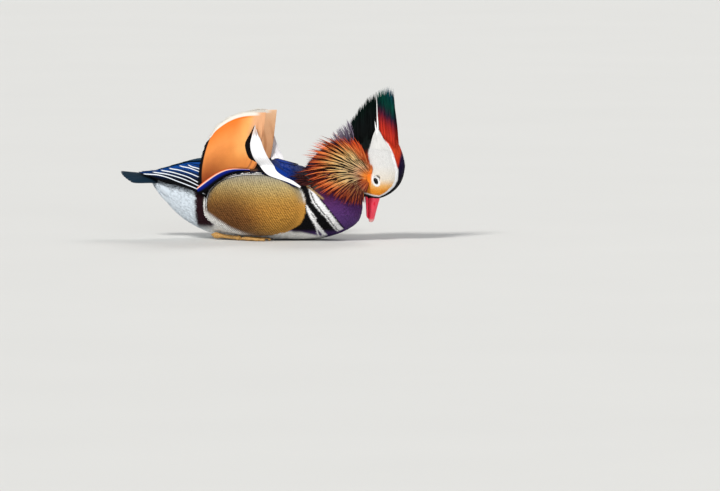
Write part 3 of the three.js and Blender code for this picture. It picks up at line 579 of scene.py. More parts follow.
# the skin comes up to the lids all round the eye
seated = soft(*eye["seatReach"], eyeShare(skinPoints, eye["halfWidth"], eye["halfLength"]))
seated = seated * (skinZones == headZone)
for word, side in bothSides:
    goal = onEye(skinPoints[:, 0], skinPoints[:, 2], eye["deep"] - eye["proud"] + eye["seat"], side)[:, 1]
    skinPoints[:, 1] += seated * (skinPoints[:, 1] * side > 0) * (goal - skinPoints[:, 1])
skinTree = BVHTree.FromPolygons(skinPoints.tolist(), skinFaces.tolist())


def bodySpots(p):
    turn = np.arctan2(p[:, 1], p[:, 2] - 50) / (2 * math.pi) + 0.5
    return np.stack([0.02 + 0.96 * turn, 0.02 + 0.96 * (p[:, 0] + 145) / 300], -1)


def headSpots(p):
    turn = np.arctan2(p[:, 1], p[:, 0] - 156) / (2 * math.pi) + 0.5
    return np.stack([0.02 + 0.96 * turn, 0.02 + 0.96 * np.clip((p[:, 2] - 40) / 120, 0, 1)], -1)


# markings, the same on the skin and on the coat

bodyPaint = {
    "breast": [(4, "#3c2a5c"), (26, "#5f3c7c"), (42, "#5c3270"), (56, "#4e214c"), (70, "#401a28"),
               (84, "#3c1e14")],
    "back": [(-130, "#1e2a30"), (-95, "#18262c"), (-55, "#0e1820"), (-10, "#080f26"), (18, "#082c80"),
             (42, "#0a3490"), (57, "#0c205c"), (68, "#35343a"), (84, "#544c40"), (100, "#4c2c1e")],
    "belly": "#eeedea", "vent": "#d3dde6", "brown": "#6b4526", "maroon": "#230911", "bar": "#f8f8f8",
    "barEdge": "#060608", "tan": "#b09064",
}
bellyLine = ([-140, -112, -70, -50, 0, 66, 92, 101], [74, 70, 62, 20, 15, 12, 5, -20])
rearBar = ([10, 34, 60], [93, 80.5, 68.4])
frontBarRear = ([6, 30, 39, 50, 68], [112, 99, 91, 82.5, 76.5])
frontBarFore = ([6, 30, 42.5, 55.5, 68], [121, 109.3, 100.4, 90, 79.5])
thinBar = ([31, 47.8], [86.3, 74.5])


def wedge(p):  # the brown wedge between the flank, the sail and the shoulder band
    x, z = p[:, 0], p[:, 2]
    top = 89.5 + (x + 20) * 0.17
    share = soft(-24, -12, x) * soft(14, 8, x) * soft(86.3, 87.3, z) * soft(top + 1, top, z)
    return 0.8 * share * (np.abs(p[:, 1]) > 25)


def bodyTint(p):
    x, z = p[:, 0], p[:, 2]
    side = np.abs(p[:, 1])
    tint = ramp(z, bodyPaint["breast"])
    tint = toward(tint, ramp(x, bodyPaint["back"]), soft(60, 70, z))
    line = np.interp(x, *bellyLine)
    belly = toward(flatTint(bodyPaint["belly"], p), bodyPaint["vent"], soft(-40, -75, x))
    tint = toward(tint, belly, soft(line + 2, line - 2, z))
    band = soft(-70, -67, x) * soft(-44, -48, x) * soft(68, 62, z) * soft(10, 20, z)
    tint = toward(tint, bodyPaint["maroon"], band)
    shoulder = soft(14, 20, side) * soft(71, 68, z)
    rear, back, fore = (np.interp(z, *line) for line in (rearBar, frontBarRear, frontBarFore))
    half = np.interp(z, [10, 34, 50, 60], [2.8, 2.2, 1.5, 0.7])
    dark = soft(54, 57, x) * soft(fore + 2.6, fore + 1.8, x) * soft(8, 16, z)
    tint = toward(tint, bodyPaint["barEdge"], dark * shoulder)
    thin = np.interp(z, *thinBar)
    white = soft(half + 0.4, half - 0.4, np.abs(x - rear)) * soft(62, 59, z)
    white = np.maximum(white, soft(back - 0.4, back + 0.4, x) * soft(fore + 0.4, fore - 0.4, x))
    white = np.maximum(white, soft(1.0, 0.5, np.abs(x - thin)) * soft(49, 46, z))
    inner = back + 0.27 * (fore - back)
    white = white * (1 - soft(1.2, 0.5, np.abs(x - inner)) * soft(66, 60, z))
    tint = toward(tint, bodyPaint["bar"], white * shoulder)
    tanLine = np.abs((x - 73) * 0.595 + (z - 71) * 0.804)
    tint = toward(tint, bodyPaint["tan"], soft(1.4, 0.6, tanLine) * soft(72, 75, x) * soft(98, 95, x))
    tint = toward(tint, bodyPaint["brown"], wedge(p))
    gloss = 0.4 * soft(8, 20, x) * soft(64, 54, x) * soft(68, 76, z)
    gloss = gloss + 0.25 * soft(86, 100, x) * soft(60, 40, z) * (1 - white)
    return withGloss(tint, gloss)


flankPaint = {
    "rise": [(4, "#b8a080"), (14, "#825c36"), (26, "#8a5828"), (40, "#ae7834"), (54, "#c0954c"),
             (68, "#bda670"), (80, "#aaa288")],
    "warm": "#d29a42", "rust": "#6a4424", "grey": "#8d8c80", "rim": "#f4f4f2", "hairline": "#08080a",
    "patch": "#f0eeea",
}
rimLines = ((0.945, 0.98, "rim"), (0.925, 0.945, "hairline"), (0.908, 0.925, "rim"),
            (0.893, 0.908, "hairline"))


def flankTint(p):
    x, z = p[:, 0], p[:, 2]
    reach = flankReach(p)
    up = (z - flankShape["z"]) / flankShape["height"]
    tint = ramp(z, flankPaint["rise"])
    tint = toward(tint, flankPaint["warm"], 0.7 * soft(-5, 45, x) * soft(60, 30, z))
    tint = toward(tint, flankPaint["rust"], 0.9 * soft(28, -24, x) * soft(84, 36, z))
    top = soft(0.0, 0.25, up)
    rear = soft(28, 5, x) * soft(-0.35, 0.0, up)
    tint = toward(tint, flankPaint["grey"], 0.7 * soft(0.8, 0.95, reach) * top)
    for low, high, key in rimLines:
        inside = soft(low - 0.006, low + 0.004, reach) * soft(high + 0.006, high - 0.004, reach)
        shown = np.maximum(rear, 0.6 * top) if high > 0.95 else rear
        tint = toward(tint, flankPaint[key], inside * shown)
    tint = toward(tint, flankPaint["hairline"], soft(0.978, 0.99, reach) * soft(-0.5, -0.25, up))
    low = np.interp(x, [-62, -50, -38, -20, 0, 25], [41, 35.5, 28, 17, 9, 3])
    tint = toward(tint, flankPaint["patch"], soft(low + 3, low - 4, z))
    return withGloss(tint, 0.0)


def flankTrim(p):  # shorter feathers at the edge of the flank, so that its outline stays clean
    return 0.35 + 0.65 * soft(1.0, 0.78, flankReach(p))


def barTrim(p):
    return 0.3 + 0.7 * soft(1.0, 1.15, flankReach(p))


def flankFine(p):  # how much of the fine dark hatching shows
    up = (p[:, 2] - flankShape["z"]) / flankShape["height"]
    return soft(0.93, 0.88, flankReach(p)) * (0.65 + 0.35 * soft(0.2, -0.5, up)) * soft(-80, -60, p[:, 0])


whiteFore = ([55.4, 58, 62.1, 68.4, 76.7, 88.1, 97.5, 110, 121.5, 129.8, 140],
             [159.8, 166.2, 172.6, 179.2, 183.5, 184.6, 182.4, 178.3, 171.9, 162.5, 157])
whiteRear = ([66, 71.5, 76.7, 84, 92.4, 102.7, 110, 116.3, 125.6, 134, 142],
             [150, 151.5, 152, 152.7, 152, 148.8, 147.8, 149.3, 152.5, 153.6, 156])
redFore = ([86, 94.4, 108, 123.6, 140], [183, 185.8, 187.2, 185, 186])
facePaint = {
    "cheek": [(52, "#d87a1c"), (60, "#f4952a"), (74, "#ff922a"), (86, "#ff7a24"), (98, "#f45e20"),
              (106, "#d24c22"), (111, "#5a1c12"), (115, "#08110f"), (140, "#081210")],
    "white": [(55, "#f08c1e"), (63, "#f29a30"), (69, "#f5bc70"), (77, "#f0e6d6"), (95, "#e9e8e5"),
              (125, "#e2e2e1")],
    "red": [(84, "#8c1e1a"), (96, "#d8361e"), (112, "#f2522a"), (126, "#ec4028"), (134, "#c83222"),
            (141, "#56224c")],
    "dark": [(54, "#050508"), (76, "#0a0912"), (90, "#1c1236"), (108, "#321c4c"), (124, "#3c1c3c")],
    # the near black below the face's lower edge is painted shadow under the head
    "rim": "#ffffff", "chinShadow": "#0a0808",
}


def faceTint(p):
    x, z = p[:, 0], p[:, 2]
    fore, rear, red = (np.interp(z, *line) for line in (whiteFore, whiteRear, redFore))
    tint = ramp(z, facePaint["cheek"])
    clear = soft(rear - 0.6, rear + 0.6, x) * soft(61, 72, z + (x - 150) * 0.8)
    tint = toward(tint, ramp(z, facePaint["white"]), clear)
    crown = toward(ramp(z, facePaint["red"]), ramp(z, facePaint["dark"]), soft(red - 1, red + 1, x))
    crown = toward(crown, ramp(z, facePaint["dark"]), soft(92, 84, z))
    tint = toward(tint, crown, soft(fore - 0.4, fore + 0.6, x))
    line = soft(1.9, 1.2, np.abs(x - fore + 0.9)) * soft(54, 57, z)
    tint = toward(tint, facePaint["rim"], line)
    base = np.interp(x, [139, 145, 153, 160], [60.5, 59.5, 57.3, 56.4])
    tint = toward(tint, facePaint["rim"], soft(base + 0.8, base - 0.2, z) * soft(163, 160, x))
    # painted shadow: near black below the face's lower edge
    tint = toward(tint, facePaint["chinShadow"], soft(base - 1.0, base - 1.8, z))
    tint = toward(tint, facePaint["rim"], soft(1.06, 0.96, eyeShare(p, *eye["ring"])))
    gloss = 0.3 * soft(fore, fore + 2, x) + 0.3 * soft(112, 118, z) * soft(rear, rear - 2, x)
    return withGloss(tint, np.clip(gloss, 0, 1))


# the neck skin lies under the ruff and the nape plumes: its dark colours are partly the neck's own and
# partly painted shade in the gaps between the plumes
neckPaint = {"side": "#2c100e", "nape": "#181020", "low": "#48202c"}
armPaint = [(-75, "#0c2028"), (-50, "#0b2836"), (-15, "#10182a"), (10, "#0e162c"), (45, "#2c2620")]


def neckTint(p):
    tint = flatTint(neckPaint["side"], p)
    tint = toward(tint, neckPaint["nape"], soft(96, 116, p[:, 2]))
    return withGloss(toward(tint, neckPaint["low"], soft(70, 50, p[:, 2])), 0.15)


def armTint(p):
    return withGloss(toward(ramp(p[:, 0], armPaint), bodyPaint["brown"], wedge(p)), 0.2)


zoneTints = {headZone: faceTint, flankZone: flankTint, neckZone: neckTint, armZone: armTint}


def dressSkin():
    tint = bodyTint(skinPoints)
    for number, colours in zoneTints.items():
        tint = np.where((skinZones == number)[:, None], colours(skinPoints), tint)
    count = len(skinPoints)
    heap = Heap()
    tint = tint * ([coat["shade"]] * 3 + [0.3])  # painted shade under the coat: darker than the feathers over it, and duller
    heap.add(points=skinPoints, faces=skinFaces, tint=tint, fine=np.zeros(count),
             lie=np.stack([np.full(count, 0.5), skinPoints[:, 0] / 10], -1), spot=bodySpots(skinPoints),
             rim=np.zeros(count, bool))
    made = heap.piece("skinUnderCoat", softFeathers, "body_feathers",
                      "torso", "neck", "head", "flank_right", "flank_left")
    made.data.uv_layers.remove(made.data.uv_layers["OFBake"])


dressSkin()


# small feathers over the skin

def level(x, z):  # directions in the plane that halves the bird
    return np.stack(np.broadcast_arrays(x, 0.0, z), -1)


def flowBody(p):
    x, z = p[:, 0], p[:, 2]
    down = -0.12 - 0.9 * soft(70, 135, x) + 0.2 * soft(-60, -110, x)
    return np.stack([np.full(len(p), -1.0), -0.12 * np.sign(p[:, 1]) * soft(-50, -110, x), down], -1)


flankLie = np.array([-0.862, 0.0, -0.507])


def flowFlank(p):
    return mixed(flankLie, np.array([-1.0, 0.0, -0.1]), soft(-20, -55, p[:, 0])[:, None])


def flowRim(p):  # along the outline of the flank
    across = (p[:, 0] - flankShape["x"]) / flankShape["length"]
    up = (p[:, 2] - flankShape["z"]) / flankShape["height"]
    bent = flankShape["power"] - 1
    slopeX = np.sign(across) * np.abs(across) ** bent / flankShape["length"]
    slopeZ = np.sign(up) * np.abs(up) ** bent / flankShape["height"]
    return unit(level(-slopeZ, slopeX))


def flowCheek(p):
    return level(p[:, 0] - 166, p[:, 2] - 76)


def flowVent(p):
    return level(-1.0, 0.2 + 0.25 * soft(-85, -110, p[:, 0]))


def flowFace(p):
    return level(-0.25 - 0.7 * soft(158, 136, p[:, 0]), 1.0)


def coatPiece(name, wanted, look, flow, tintAt=bodyTint, finish=softFeathers, slot="body_feathers",
              spotsAt=bodySpots):
    rng = np.random.default_rng(look["seed"])
    roots = scatter(wanted, look["spacing"], look["seed"])
    count = len(roots)
    size = 1 + look["vary"] * rng.uniform(-1, 1, count)
    if look["trim"]:
        size = size * look["trim"](roots)
    rise = look["rise"] * rng.uniform(0.7, 1.25, count)
    stations = np.array(look["stations"])
    centres, ups = layAlong(roots, flow, look["length"] * size, stations, rise, look["jitter"], rng)
    half = look["width"] / 2 * size[:, None] * np.interp(stations[:-1], *look["outline"])
    rings = len(stations) - 1
    share = np.append(np.repeat(stations[:-1], 4), 1.0)
    across = np.append(np.tile([1.0, 0.0, 1.0, 0.0], rings), 0.0)
    # painted shade: each feather is drawn darker toward its root, where the feathers before it lie over it,
    # and along its edges
    shade = mixed(look["rootShade"], 1, share) * mixed(1, look["edgeShade"], across)
    shade = shade[None, :, None] * (1 + look["tone"] * rng.uniform(-1, 1, (count, 1, 1)))

    def tints(points):
        flat = tintAt(points.reshape(-1, 3)).reshape(count, -1, 4)
        return np.clip(np.concatenate([flat[..., :3] * shade, flat[..., 3:]], -1), 0, 1)

    phase = roots @ flankLie / 10 if look["fine"] else rng.random(count) * 3
    heap = Heap()
    addVanes(heap, centres, ups, half, look, tints, spotsAt(roots), phase)
    return heap.piece(name, finish, slot)


mx, my, mz = faceMiddles.T
barZone = (zone == torsoZone) & (mx > 52) & (mx < 124) & (np.abs(my) > 14) & (mz < 74)
backZone = (zone == torsoZone) & (mz > 62) & ~barZone
breastZone = (zone == torsoZone) & (mx > 60) & ~barZone & ~backZone
bellyZone = (zone == torsoZone) & ~barZone & ~backZone & ~breastZone
ventZone = bellyZone & (mx < -84) & (mz > 20)
underTailZone = bellyZone & (mx < -100) & (mz > 42)
rimZone = (zone == flankZone) & (flankReach(faceMiddles) > 0.87) & (mx < 34) & (mz > 32)
eyeGap = eyeShare(faceMiddles, eye["halfWidth"] + eye["gap"], eye["halfLength"] + eye["gap"]) < 1
foreNow, rearNow = np.interp(mz, *whiteFore), np.interp(mz, *whiteRear)
faceZone = (zone == headZone) & ~eyeGap
crownZone = faceZone & ((mx > foreNow + 0.5) & (mz > 84) | (mz > 111) & (mx < rearNow) | (mz > 134))
cheekZone = faceZone & ~crownZone & (mx < 148) & (mz > 57)
shortZone = faceZone & ~crownZone & ~cheekZone

backFeathers = {  # sizes in millimetres; stations and outline run from the root to the tip
    "seed": 3, "spacing": 3.0, "length": 12, "width": 7, "rise": 0.7, "jitter": 0.12, "thick": 0.14,
    # the root and edge shares are painted shade: how dark each feather is drawn at its root and along its
    # edges
    "vary": 0.15, "camber": 0.06, "tone": 0.22, "rootShade": 0.7, "edgeShade": 0.85,
    "stations": [0, 0.32, 0.66, 0.88, 1], "outline": ([0, 0.3, 0.7, 0.9, 1], [0.5, 0.92, 1.0, 0.66, 0]),
    "trim": None, "fine": None,
}
breastFeathers = {**backFeathers, "seed": 4, "spacing": 2.1, "length": 7.5, "width": 4, "rise": 0.5,
                  "tone": 0.12}
bellyFeathers = {**backFeathers, "seed": 5, "spacing": 2.3, "length": 13, "width": 5, "rise": 0.3,
                 "thick": 0.08, "outline": ([0, 0.3, 0.65, 1], [0.5, 1.0, 0.85, 0]), "tone": 0.03,
                 "rootShade": 1.0, "edgeShade": 0.97}
ventFeathers = {**bellyFeathers, "seed": 15, "length": 16, "width": 3.6, "rise": 0.35, "jitter": 0.05,
                "thick": 0.06, "edgeShade": 0.99, "outline": ([0, 0.3, 0.6, 1], [0.7, 1.0, 0.8, 0])}
underTail = {**ventFeathers, "seed": 16, "spacing": 3.6, "length": 24, "width": 8, "rise": 2.2, "tone": 0.08,
             "edgeShade": 0.9, "jitter": 0.1}
barFeathers = {**backFeathers, "seed": 6, "spacing": 1.4, "length": 6, "width": 1.9, "rise": 0.45,
               "trim": barTrim, "tone": 0.06, "rootShade": 0.95, "edgeShade": 1.0}
coatPiece("backFeathers", backZone, backFeathers, flowBody)
coatPiece("breastFeathers", breastZone, breastFeathers, flowBody)
coatPiece("bellyFeathers", bellyZone, bellyFeathers, flowBody)
coatPiece("ventFeathers", ventZone, ventFeathers, flowVent)
coatPiece("underTailCoverts", underTailZone, underTail, flowVent)
coatPiece("barFeathers", barZone, barFeathers, flowBody)

flankFeathers = {**backFeathers, "seed": 7, "spacing": 1.75, "length": 9.5, "width": 3.7, "rise": 0.28,
                 "thick": 0.06, "tone": 0.05, "rootShade": 1.0, "edgeShade": 0.99, "jitter": 0.05,
                 "fine": flankFine, "trim": flankTrim}
rimFeathers = {**flankFeathers, "seed": 17, "spacing": 0.95, "length": 4.5, "width": 1.2, "rise": 0.3,
               "tone": 0.03, "trim": None}
for half, word in ((my < 0, "Right"), (my > 0, "Left")):
    innerZone = (zone == flankZone) & half & ~rimZone
    coatPiece("flankFeathers" + word, innerZone, flankFeathers, flowFlank, flankTint, softFeathers,
              "flank_feathers")
    coatPiece("flankRim" + word, rimZone & half, rimFeathers, flowRim, flankTint, softFeathers,
              "flank_feathers")
armFeathers = {**backFeathers, "seed": 8, "spacing": 3.2, "length": 12, "width": 6.5}
coatPiece("wingCoverts", zone == armZone, armFeathers, flowBody, armTint, softFeathers, "wing_feathers")

shortFeathers = {**backFeathers, "seed": 9, "spacing": 1.05, "length": 6.2, "width": 1.35, "rise": 0.12,
                 "thick": 0.04, "tone": 0.012, "rootShade": 0.99, "edgeShade": 1.0, "jitter": 0.05,
                 "camber": 0.02, "stations": [0, 0.42, 0.8, 1]}
longStations = {"stations": [0, 0.3, 0.6, 0.85, 1], "outline": ([0, 0.3, 0.7, 1], [0.6, 1.0, 0.7, 0])}
cheekFeathers = {**shortFeathers, **longStations, "seed": 12, "length": 8, "width": 1.1, "rise": 1.0,
                 "thick": 0.09, "vary": 0.3, "jitter": 0.1, "tone": 0.1, "rootShade": 0.98, "edgeShade": 0.93}
crownFeathers = {**shortFeathers, **longStations, "seed": 10, "spacing": 1.15, "length": 10, "width": 1.15,
                 "rise": 1.0, "thick": 0.1, "jitter": 0.12, "tone": 0.25, "rootShade": 0.9, "edgeShade": 0.85}
headCoat = (
    ("faceFeathers", shortZone, shortFeathers, flowFace, faceFinish, "face_feathers"),
    ("cheekFeathers", cheekZone, cheekFeathers, flowCheek, faceFinish, "face_feathers"),
    ("crownFeathers", crownZone, crownFeathers, flowFace, hackleFinish, "crest_feathers"),
)
for name, wanted, look, flow, finish, slot in headCoat:
    coatPiece(name, wanted, look, flow, faceTint, finish, slot, headSpots)


# loose plumes: the nape, the crest and the ruff

plumeShape = ([0, 0.25, 0.5, 0.8, 0.95, 1], [0.5, 0.95, 1.0, 0.62, 0.25, 0])


def ringShares(look):
    return np.linspace(0, 1, look["rings"] + 1)


def addPlumes(heap, controls, ups, widths, look, edge, middle, spots, rng):
    # ups and widths are one for each plume or one for all; edge is a tint or a share of the middle's, and a
    # share darkens the plume's edges as painted shade
    count, rings = len(controls), look["rings"]
    shares = ringShares(look)
    centres = bend(controls, shares)
    half = np.broadcast_to(widths, count)[:, None] / 2 * np.interp(shares[:rings], *plumeShape)
    facing = np.broadcast_to(np.broadcast_to(ups, (count, 3))[:, None], centres.shape)
    # painted shade: a share gives the plume darker edges
    if np.ndim(edge) == 0:
        edge = middle * [edge, edge, edge, 1]
    shape = {"camber": look.get("camber", 0.12), "thick": look["thick"], "fine": None}
    phase = rng.random(count) * 3
    addVanes(heap, centres, facing, half, shape, woven(edge, middle), spots, phase)


nape = {"seed": 21, "spacing": 2.1, "length": 20, "width": 1.7, "rings": 5, "thick": 0.3}
napeTints = {"root": "#0d0a0e",
             "tip": [(60, "#5a2a1c"), (85, "#54242a"), (100, "#3a2038"), (118, "#4c4058")]}
wisps = {"seed": 24, "count": 150, "width": 0.8, "rings": 6, "thick": 0.25, "rootX": (106, 127),
         "rootZ": (111, 120), "rootHalf": 12, "tipX": (97, 124), "tipZ": (134, 156), "tipHalf": 14,
         "tints": ["#2a2230", "#6f6276", "#8d8294"]}


def napeOf(heap):
    look = nape
    rng = np.random.default_rng(look["seed"])
    wanted = (zone == neckZone) | ((zone == torsoZone) & (mx > 70) & (mz > 72))
    roots = scatter(wanted, look["spacing"], look["seed"])
    place, normal = onSkin(roots)
    count = len(roots)
    rise = (0.2 + 0.1 * rng.random(count))[:, None]
    flow = np.array([-0.8, 0.0, -0.6]) + [0.0, 0.0, 0.45] * soft(60, 110, place[:, 2])[:, None]
    run = unit(flow - normal * (flow * normal).sum(1, keepdims=True))
    run = unit(run + np.cross(normal, run) * rng.normal(0, 0.12, (count, 1)))
    length = look["length"] * rng.uniform(0.75, 1.15, count)[:, None]
    controls = np.stack([place - normal, place + length * (0.45 * run + 0.3 * rise * normal) + normal,
                         place + length * (0.95 * run + 0.5 * rise * normal)], 1)
    root = paint(napeTints["root"])
    tip = ramp(place[:, 2], napeTints["tip"]) * rng.uniform(0.7, 1.3, (count, 1))
    middle = withGloss(root + (tip - root)[:, None] * ringShares(look)[None, :, None] ** 1.3, 0.2)
    addPlumes(heap, controls, normal, look["width"], look, 0.7, middle, bodySpots(place), rng)


def wispsOf(heap):  # the thin loose plumes between the nape and the crest
    look = wisps
    count = look["count"]
    rng = np.random.default_rng(look["seed"])
    share = rng.random(count)
    across = rng.uniform(-1, 1, count)
    root = np.stack([mixed(*look["rootX"], share), look["rootHalf"] * across,
                     mixed(*look["rootZ"], share) - 4 * across ** 2], -1)
    tip = np.stack([mixed(*look["tipX"], share) + rng.normal(0, 1.5, count),
                    look["tipHalf"] * across + rng.normal(0, 1.5, count),
                    mixed(*look["tipZ"], share) - 11 * rng.random(count)], -1)
    knee = (root + tip) / 2
    knee[:, 0] += 3 + rng.normal(0, 1, count)
    shades = np.array([paint(code) for code in look["tints"]])
    tint = np.stack([np.interp(ringShares(look), [0, 0.5, 1], shades[:, k]) for k in range(3)], -1)
    middle = withGloss(tint[None] * rng.uniform(0.6, 1.25, (count, 1, 1)), 0.1)
    addPlumes(heap, np.stack([root, knee, tip], 1), [0.0, -1.0, 0.3], look["width"], look, 0.8, middle,
              bodySpots(root), rng)


napeHeap = Heap()
napeOf(napeHeap)
wispsOf(napeHeap)
napeHeap.piece("napePlumes", hackleFinish, "neck_feathers")

crest = {"seed": 22, "count": 2700, "rootHalf": 13.5, "midHalf": 8.5, "tipHalf": 5.0, "width": 0.9,
         "rings": 6, "thick": 0.3, "locks": 52, "rows": 3, "blackTo": (0.57, 0.6)}
crestRoots = [(127, 113), (134, 120), (143, 124), (150, 127), (159.5, 129), (168.5, 127), (176, 122),
              (181, 116)]
crestTips = [(124, 151), (132, 162), (138.5, 170.5), (146.5, 178.5), (155, 184), (161.5, 187), (169, 190),
             (175.5, 186)]
crestTints = {
    "nape": [(0, "#020403"), (0.6, "#03090a"), (1, "#062019")],
    "front": [(110, "#c03420"), (126, "#de3c26"), (142, "#bc2c22"), (150, "#641832"), (157, "#121a38"),
              (163, "#03302e"), (172, "#034c3c"), (182, "#04504c"), (190, "#083c5a")],
}


def crestOfHead():
    look = crest
    rng = np.random.default_rng(look["seed"])
    count = look["count"]
    heap = Heap()
    along = np.clip((np.arange(count) + 0.5) / count + 0.008 * rng.normal(size=count), 0, 1)
    across = rng.permutation(np.linspace(-1, 1, count))
    column = np.clip((along * look["locks"] + rng.normal(0, 0.25, count)).astype(int), 0, look["locks"] - 1)
    row = np.clip(((across + 1) / 2 * look["rows"]).astype(int), 0, look["rows"] - 1)
    lock = column * look["rows"] + row
    lockReach = 1 - 0.12 * rng.random(look["locks"] * look["rows"]) ** 1.5
    lockTip = through(crestTips, (column + 0.5) / look["locks"])
    lockY = ((row + 0.5) / look["rows"] * 2 - 1) * 0.8
    root, tip = through(crestRoots, along), through(crestTips, along)
    reach = lockReach[lock] * rng.uniform(0.8, 0.95, count)
    reach = np.where(rng.random(count) < 0.17, rng.uniform(0.92, 1.06, count), reach)

    def at(share, wide):
        gather = 0.45 * share ** 2
        goal = mixed(tip, lockTip, gather)
        spot = root + (goal - root) * (share * reach)[:, None]
        y = mixed(across, lockY, gather) * wide + rng.normal(0, 0.2, count)
        hollow = 1.6 * (1 - along) * math.sin(share * math.pi)
        x = spot[:, 0] + rng.normal(0, 0.15 + 0.5 * share, count) - hollow
        return np.stack([x, y, spot[:, 1]], -1)

    controls = np.stack([at(0, look["rootHalf"]), at(0.5, look["midHalf"]), at(1, look["tipHalf"])], 1)
    shares = ringShares(look)
    height = bend(controls, shares)[..., 2]
    slant = 1.2 * (controls[:, 2, 0] - 168)[:, None]
    napeTint = ramp(np.broadcast_to(shares, height.shape), crestTints["nape"])
    front = ramp(height + 0.75 * slant + rng.normal(0, 1.6, (count, 1)), crestTints["front"])
    share = soft(*look["blackTo"], along)[:, None, None]
    tint = mixed(napeTint, front, share) * rng.uniform(0.75, 1.3, (count, 1, 1))
    middle = withGloss(tint, 0.25)
    ups = np.array([0.2, 0, 0]) + [0, 1, 0] * np.sign(across)[:, None]
    spots = np.stack([0.02 + 0.96 * along, 0.5 + 0.48 * across], -1)
    widths = look["width"] * rng.uniform(0.8, 1.2, count)
    addPlumes(heap, controls, ups, widths, look, 0.6, middle, spots, rng)
    heap.piece("crestPlumes", hackleFinish, "crest_feathers", "crest")


crestOfHead()

brow = {"seed": 23, "long": 10, "second": 8, "behind": 3.4, "width": 1.15, "rings": 6, "thick": 0.35,
        "tint": "#fbfbf9",
        "path": [(160, 14.6, 124), (159.4, 13.4, 139), (158, 10.8, 158), (156.3, 7.6, 189)]}
patch = {"count": 330, "width": 1.9, "rings": 5, "thick": 0.08, "camber": 0.03,
         "rear": [(149, 105), (152.4, 125), (157.4, 141)],
         "fore": [(179.6, 105), (167.5, 125), (159.3, 141)],
         "out": ([110, 120, 126, 133, 141], [0, 14.2, 14.6, 13.9, 12.9]), "tint": "#dcdbd8"}


def evenTint(look, count):  # plumes of one colour from the root to the tip
    return withGloss(np.broadcast_to(paint(look["tint"]), (count, look["rings"] + 1, 3)), 0.0)


def browOf(heap, side, rng):
    look = brow
    reach = np.concatenate([rng.uniform(0.76, 1.0, look["long"]), rng.uniform(0.45, 0.62, look["second"])])
    count = len(reach)
    reach[0] = 1.0
    behind = np.repeat([0, look["behind"]], [look["long"], look["second"]])
    shift = rng.normal(0, 0.5, count)
    rows = []
    for k in range(4):
        spot = through(look["path"], reach * k / 3)
        spot[:, 0] += shift * (1 - 0.28 * k) - behind * (k / 3)
        spot[:, 1] = side * (spot[:, 1] - np.abs(shift) * 0.15)
        rows.append(spot)
    middle = evenTint(look, count)
    spots = np.stack([0.1 + 0.8 * rng.random(count), np.full(count, 0.25 + 0.5 * (side > 0))], -1)
    addPlumes(heap, np.stack(rows, 1), [0, side, 0], look["width"], look, 0.95, middle, spots, rng)


def patchOf(heap, side, rng):  # the white above the eye, where it narrows into the brow stripe
    look = patch
    count = look["count"]
    across = rng.permutation(np.linspace(0, 1, count))[:, None]
    begin = 0.6 * rng.random(count)
    reach = begin + (1 - begin) * rng.uniform(0.6, 1.0, count)
    rows = []
    for part in (0, 0.5, 1):
        share = mixed(begin, reach, part)
        spot = mixed(through(look["rear"], share), through(look["fore"], share), across)
        skinOut = sideOf(spot[:, 0], spot[:, 1], side) + 0.95 * part - 0.3
        out = np.maximum(np.interp(spot[:, 1], *look["out"]), skinOut) + 0.2 * part
        rows.append(np.stack([spot[:, 0], side * out, spot[:, 1]], -1))
    white = evenTint(look, count)
    white[..., :3] *= rng.uniform(0.93, 1.0, (count, 1, 1))
    spots = np.stack([0.1 + 0.8 * across[:, 0], np.full(count, 0.15 + 0.7 * (side > 0))], -1)
    addPlumes(heap, np.stack(rows, 1), [0, side, 0], look["width"], look, 1.0, white, spots, rng)


browHeap = Heap()
browRng = np.random.default_rng(brow["seed"])
for word, side in bothSides:
    browOf(browHeap, side, browRng)
    patchOf(browHeap, side, browRng)
browHeap.piece("browPlumes", faceFinish, "face_feathers")

ruff = {"seed": 31, "x": 145, "z": 80, "from": 96, "to": 270, "shortest": 35, "longest": 77, "peak": 158,
        "breadth": 47, "rings": 8, "thick": 0.35, "start": 11, "cheekStart": 0.45, "streak": 2.9,
        "vary": 0.07, "sway": 0.8, "shade": 0.12,
        "out": ([0, 8, 14, 22, 32, 45, 60, 80], [13, 15, 17.6, 22, 26.8, 30.5, 33, 36]),
        "cheekX": 151, "cheekZ": 77.5, "cheekOut": ([0, 7, 14, 22, 32], [14.5, 16.8, 18.6, 22, 27]),
        "sweep": ([0, 0.25, 0.5, 0.75, 1], [-26, -18, -11, -5, 0])}
ruffLayers = [  # plumes, share of the reach, how far it lies over the longest ones, width
    (126, 1.0, 0.0, 1.45), (122, 0.95, 0.6, 1.4), (118, 0.88, 1.2, 1.35), (114, 0.8, 1.9, 1.3),
    (108, 0.71, 2.6, 1.25), (102, 0.61, 3.2, 1.2), (96, 0.52, 3.8, 1.15), (92, 0.44, 4.3, 1.1),
]
cheekLayers = [(96, 0.45, 3.4, 1.1), (96, 0.38, 3.8, 1.05), (96, 0.31, 4.2, 1.0), (90, 0.24, 4.6, 1.0)]
ruffTints = {  # bright plumes and the dark ones between them, from the root outward; the dark plumes are partly darker under-feathers and partly painted shade of the gaps
    "bright": [(0, "#ff9230"), (0.13, "#ff9e44"), (0.24, "#ffd0a0"), (0.38, "#ffe8a8"), (0.56, "#ffcc7c"),
               (0.76, "#fc8848"), (1, "#ea5430")],
    "dark": [(0, "#f88a30"), (0.1, "#e07028"), (0.2, "#4a180c"), (0.34, "#0c0303"), (0.72, "#160504"),
             (0.9, "#6e2210"), (1, "#b43a1c")],
    "dense": [(0, "#f4802c"), (0.4, "#e0602a"), (1, "#d84722")],
    "low": [(0, "#e87a2a"), (0.13, "#8a341c"), (0.26, "#581c1a"), (0.6, "#4c1a1c"), (1, "#3a1422")],
    "rim": "#c8481a",
}


